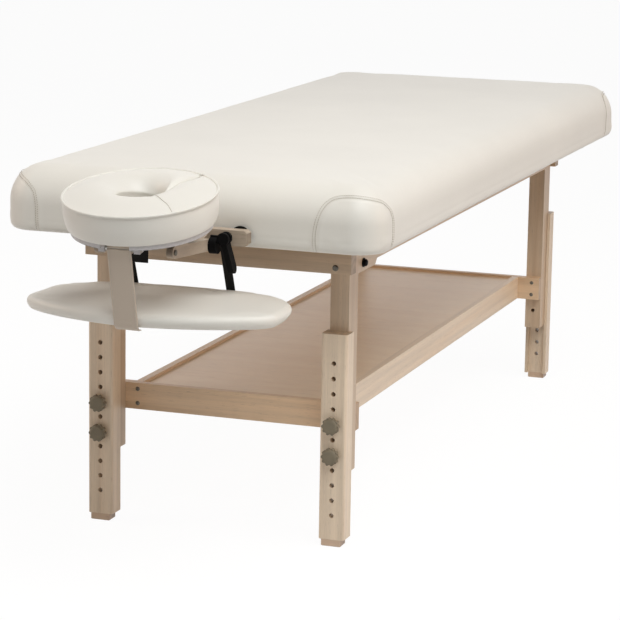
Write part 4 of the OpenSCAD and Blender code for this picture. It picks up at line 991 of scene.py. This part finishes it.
ARMREST_W, ARMREST_L = 468 * MM, 281 * MM
ARMREST_WIDE = 0.36  # where along its depth, from the front, the armrest is widest
ARMREST_T, BOARD_T, BOARD_MARGIN = 23 * MM, 9 * MM, 14 * MM
ARMREST_FRONT = FRONT_ROD[1] + 27 * MM
ARMREST_MID_Y = ARMREST_FRONT + ARMREST_L / 2
ARMREST_Z = FRONT_ROD[2] - 117 * MM - ARMREST_T
ARMREST_MID_Z = ARMREST_Z + ARMREST_T / 2
PAD_CROWN = 3 * MM


def armrest_outline(inset, count):
    out = []
    for i in range(count):
        a = 2 * math.pi * i / count
        power, share = (1.6, ARMREST_WIDE) if math.sin(a) < 0 else (3.4, 1 - ARMREST_WIDE)
        x, y = (math.copysign(abs(v) ** (2 / power), v) for v in (math.cos(a), math.sin(a)))
        out.append(((ARMREST_W / 2 - inset) * x,
                    ARMREST_FRONT + ARMREST_L * ARMREST_WIDE + (ARMREST_L * share - inset) * y))
    return np.array(out)


def build_armrest(m):
    """Pad that wraps round the board's edge and is stapled under it."""
    count = 160
    r = ARMREST_T / 2
    under_inset = BOARD_MARGIN - 0.3 * MM
    rings = [(under_inset, ARMREST_Z + BOARD_T + 0.2 * MM), (under_inset, ARMREST_Z + 0.6 * MM),
             (under_inset, ARMREST_Z)]
    rings += [(r * (1 - math.cos(a)), ARMREST_MID_Z + r * math.sin(a))
              for a in np.linspace(-math.pi / 2, math.pi / 2, 17)[1:]]
    flats = [(armrest_outline(inset, count), z) for inset, z in rings]
    hub = np.array([0, ARMREST_FRONT + ARMREST_L * ARMREST_WIDE])
    flats += [(hub + (flats[-1][0] - hub) * s, ARMREST_MID_Z + r + PAD_CROWN * (1 - s * s))
              for s in np.linspace(1, 0.04, 16)[1:]]
    points = np.vstack([np.column_stack([flat, np.full(count, z)]) for flat, z in flats])
    faces = grid_faces(len(flats), count)
    half = count // 4
    faces += fill_across(count, half, (len(flats) - 1) * count, True)
    faces += fill_across(count, half, 0, False)
    moved = swell(points, faces, range(5 * count), 1.5 * MM, 3.0)
    pad = mesh_object("armrest_cushion", points + moved, faces, m["vinyl"])
    finish_piece(pad, "armrest", ["armrest_pad"])


BAND_W, BAND_T, BAND_SLACK = 44 * MM, 2.4 * MM, 3.4 * MM


def band_line():
    """Y and Z of the middle of the band's thickness: round the front rod, down in front of the
    armrest and under its front edge."""
    r = 5 * MM + SOFT_GAP + BAND_T / 2
    around = [(FRONT_ROD[1] + r * math.cos(a), FRONT_ROD[2] + r * math.sin(a))
              for a in np.linspace(-math.pi * 0.97, math.pi, 44)[:-1]]
    edge = (ARMREST_FRONT + ARMREST_T / 2, ARMREST_MID_Z)
    hook_r = ARMREST_T / 2 + BAND_SLACK + BAND_T / 2
    top = (FRONT_ROD[1] - r, FRONT_ROD[2])
    foot = (edge[0] - hook_r, edge[1])
    fall = [(top[0] + (foot[0] - top[0]) * f, top[1] + (foot[1] - top[1]) * f)
            for f in np.linspace(0, 1, 40)[1:]]
    hook = [(edge[0] + hook_r * math.cos(a), edge[1] + hook_r * math.sin(a))
            for a in np.linspace(math.pi, 1.5 * math.pi, 22)[1:]]
    return around, [top] + fall + hook


def strip(name, line, x_mid, width, thickness, material, waves=0.0):
    """A flat band that follows a line in Y and Z, with rounded selvages."""
    line = np.asarray(line, float)
    n = len(line)
    ahead = np.gradient(line, axis=0)
    ahead /= np.linalg.norm(ahead, axis=1, keepdims=True)
    out = np.stack([ahead[:, 1], -ahead[:, 0]], 1)
    half, t = width / 2, thickness / 2
    section = []
    for x in np.linspace(-1, 1, 19):
        lip = min(1.0, (1 - abs(x)) * 9 + 0.35)
        section.append((x * half, t * lip))
    section += [(x, -h) for x, h in reversed(section)]
    points = []
    for k in range(n):
        for x, h in section:
            sway = waves * math.sin(9 * x / width + 0.21 * k)
            y, z = line[k] + out[k] * (h + sway)
            points.append((x_mid + x, y, z))
    width_n = len(section)
    faces = grid_faces(n, width_n)
    faces.append(tuple(reversed(range(width_n))))
    faces.append(tuple((n - 1) * width_n + i for i in range(width_n)))
    return mesh_object(name, points, faces, material)


def build_band(m):
    around, fall = band_line()
    band = strip("armrest_hanger", fall, 0, BAND_W, BAND_T, m["band"], 0.15 * MM)
    finish_piece(band, "band", ["armrest_band"])
    loop = strip("armrest_hanger_loop", around, 0, BAND_W - 1 * MM, BAND_T * 0.9, m["band"])
    finish_piece(loop, "band")
    line = np.array([(0, y, z) for y, z in fall])
    ahead = np.gradient(line, axis=0)
    out = np.stack([np.zeros(len(ahead)), ahead[:, 2], -ahead[:, 1]], 1)
    out /= np.linalg.norm(out, axis=1, keepdims=True)
    for number, x in enumerate((-0.5, 0.5)):
        shift = np.array([x * (BAND_W - 6 * MM), 0, 0])
        piece = stitches(f"hanger_stitch_{number}", line + shift + out * BAND_T / 2, out, 4 * MM,
                         3 * MM, 0.45 * MM, m["pale_thread"])
        finish_piece(piece, "band")


CROSSBAR_Y, CROSSBAR_Z = -930 * MM + TABLE_Y, 595 * MM
CROSSBAR_H, CROSSBAR_T = 28 * MM, 22 * MM
STRAP_T, STRAP_W = 1.6 * MM, 17 * MM


def build_straps(m):
    edge_y = ARMREST_MID_Y + ARMREST_L / 2 - ARMREST_T / 2
    low = CROSSBAR_Z - CROSSBAR_H / 2 - STRAP_T / 2
    start = CROSSBAR_Y - CROSSBAR_T + 2 * MM
    hook_r = ARMREST_T / 2 + 0.5 * MM + STRAP_T / 2
    top = (start + 14 * MM + STRAP_T / 2, low - 1.2 * MM)
    foot = (edge_y + hook_r, ARMREST_MID_Z)
    line = [(start + 0.5 * MM, low), (start + 5 * MM, low), (start + 10 * MM, low)]
    line += [(top[0] - 1.5 * MM, low - 0.1 * MM), top]
    line += [(top[0] + (foot[0] - top[0]) * f, top[1] + (foot[1] - top[1]) * f)
             for f in np.linspace(0, 1, 30)[1:]]
    line += [(edge_y + hook_r * math.cos(a), ARMREST_MID_Z + hook_r * math.sin(a))
             for a in np.linspace(0, -math.pi / 2, 16)[1:]]
    for side, x in (("right", 80 * MM), ("left", -106 * MM)):
        strap = strip(f"strap_{side}", line, x, STRAP_W, STRAP_T, m["webbing"])
        finish_piece(strap, "cradle_base")
    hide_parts("armrest_straps")
    y = CROSSBAR_Y - CROSSBAR_T + STRAP_T / 2
    z = CROSSBAR_Z - CROSSBAR_H / 2
    path = [(y + 12 * MM, z - STRAP_T / 2), (y + 5 * MM, z - STRAP_T / 2),
            (y + 1.2 * MM, z - 1.2 * MM), (y, z - 4 * MM)]
    path += [(y + 0.5 * MM * math.sin(f * 5), z - 4 * MM - 38 * MM * f)
             for f in np.linspace(0, 1, 16)[1:]]
    tail = strip("strap_tail", path, -74 * MM, 34 * MM, STRAP_T, m["webbing"])
    finish_piece(tail, "cradle_base")


# ---------------------------------------------------------------- the scene

place_camera()
light_scene()
build_floor()
materials = make_materials()
dress_solids(materials)
build_cushion(materials)
build_pillow(materials)
build_armrest(materials)
build_band(materials)
build_straps(materials)
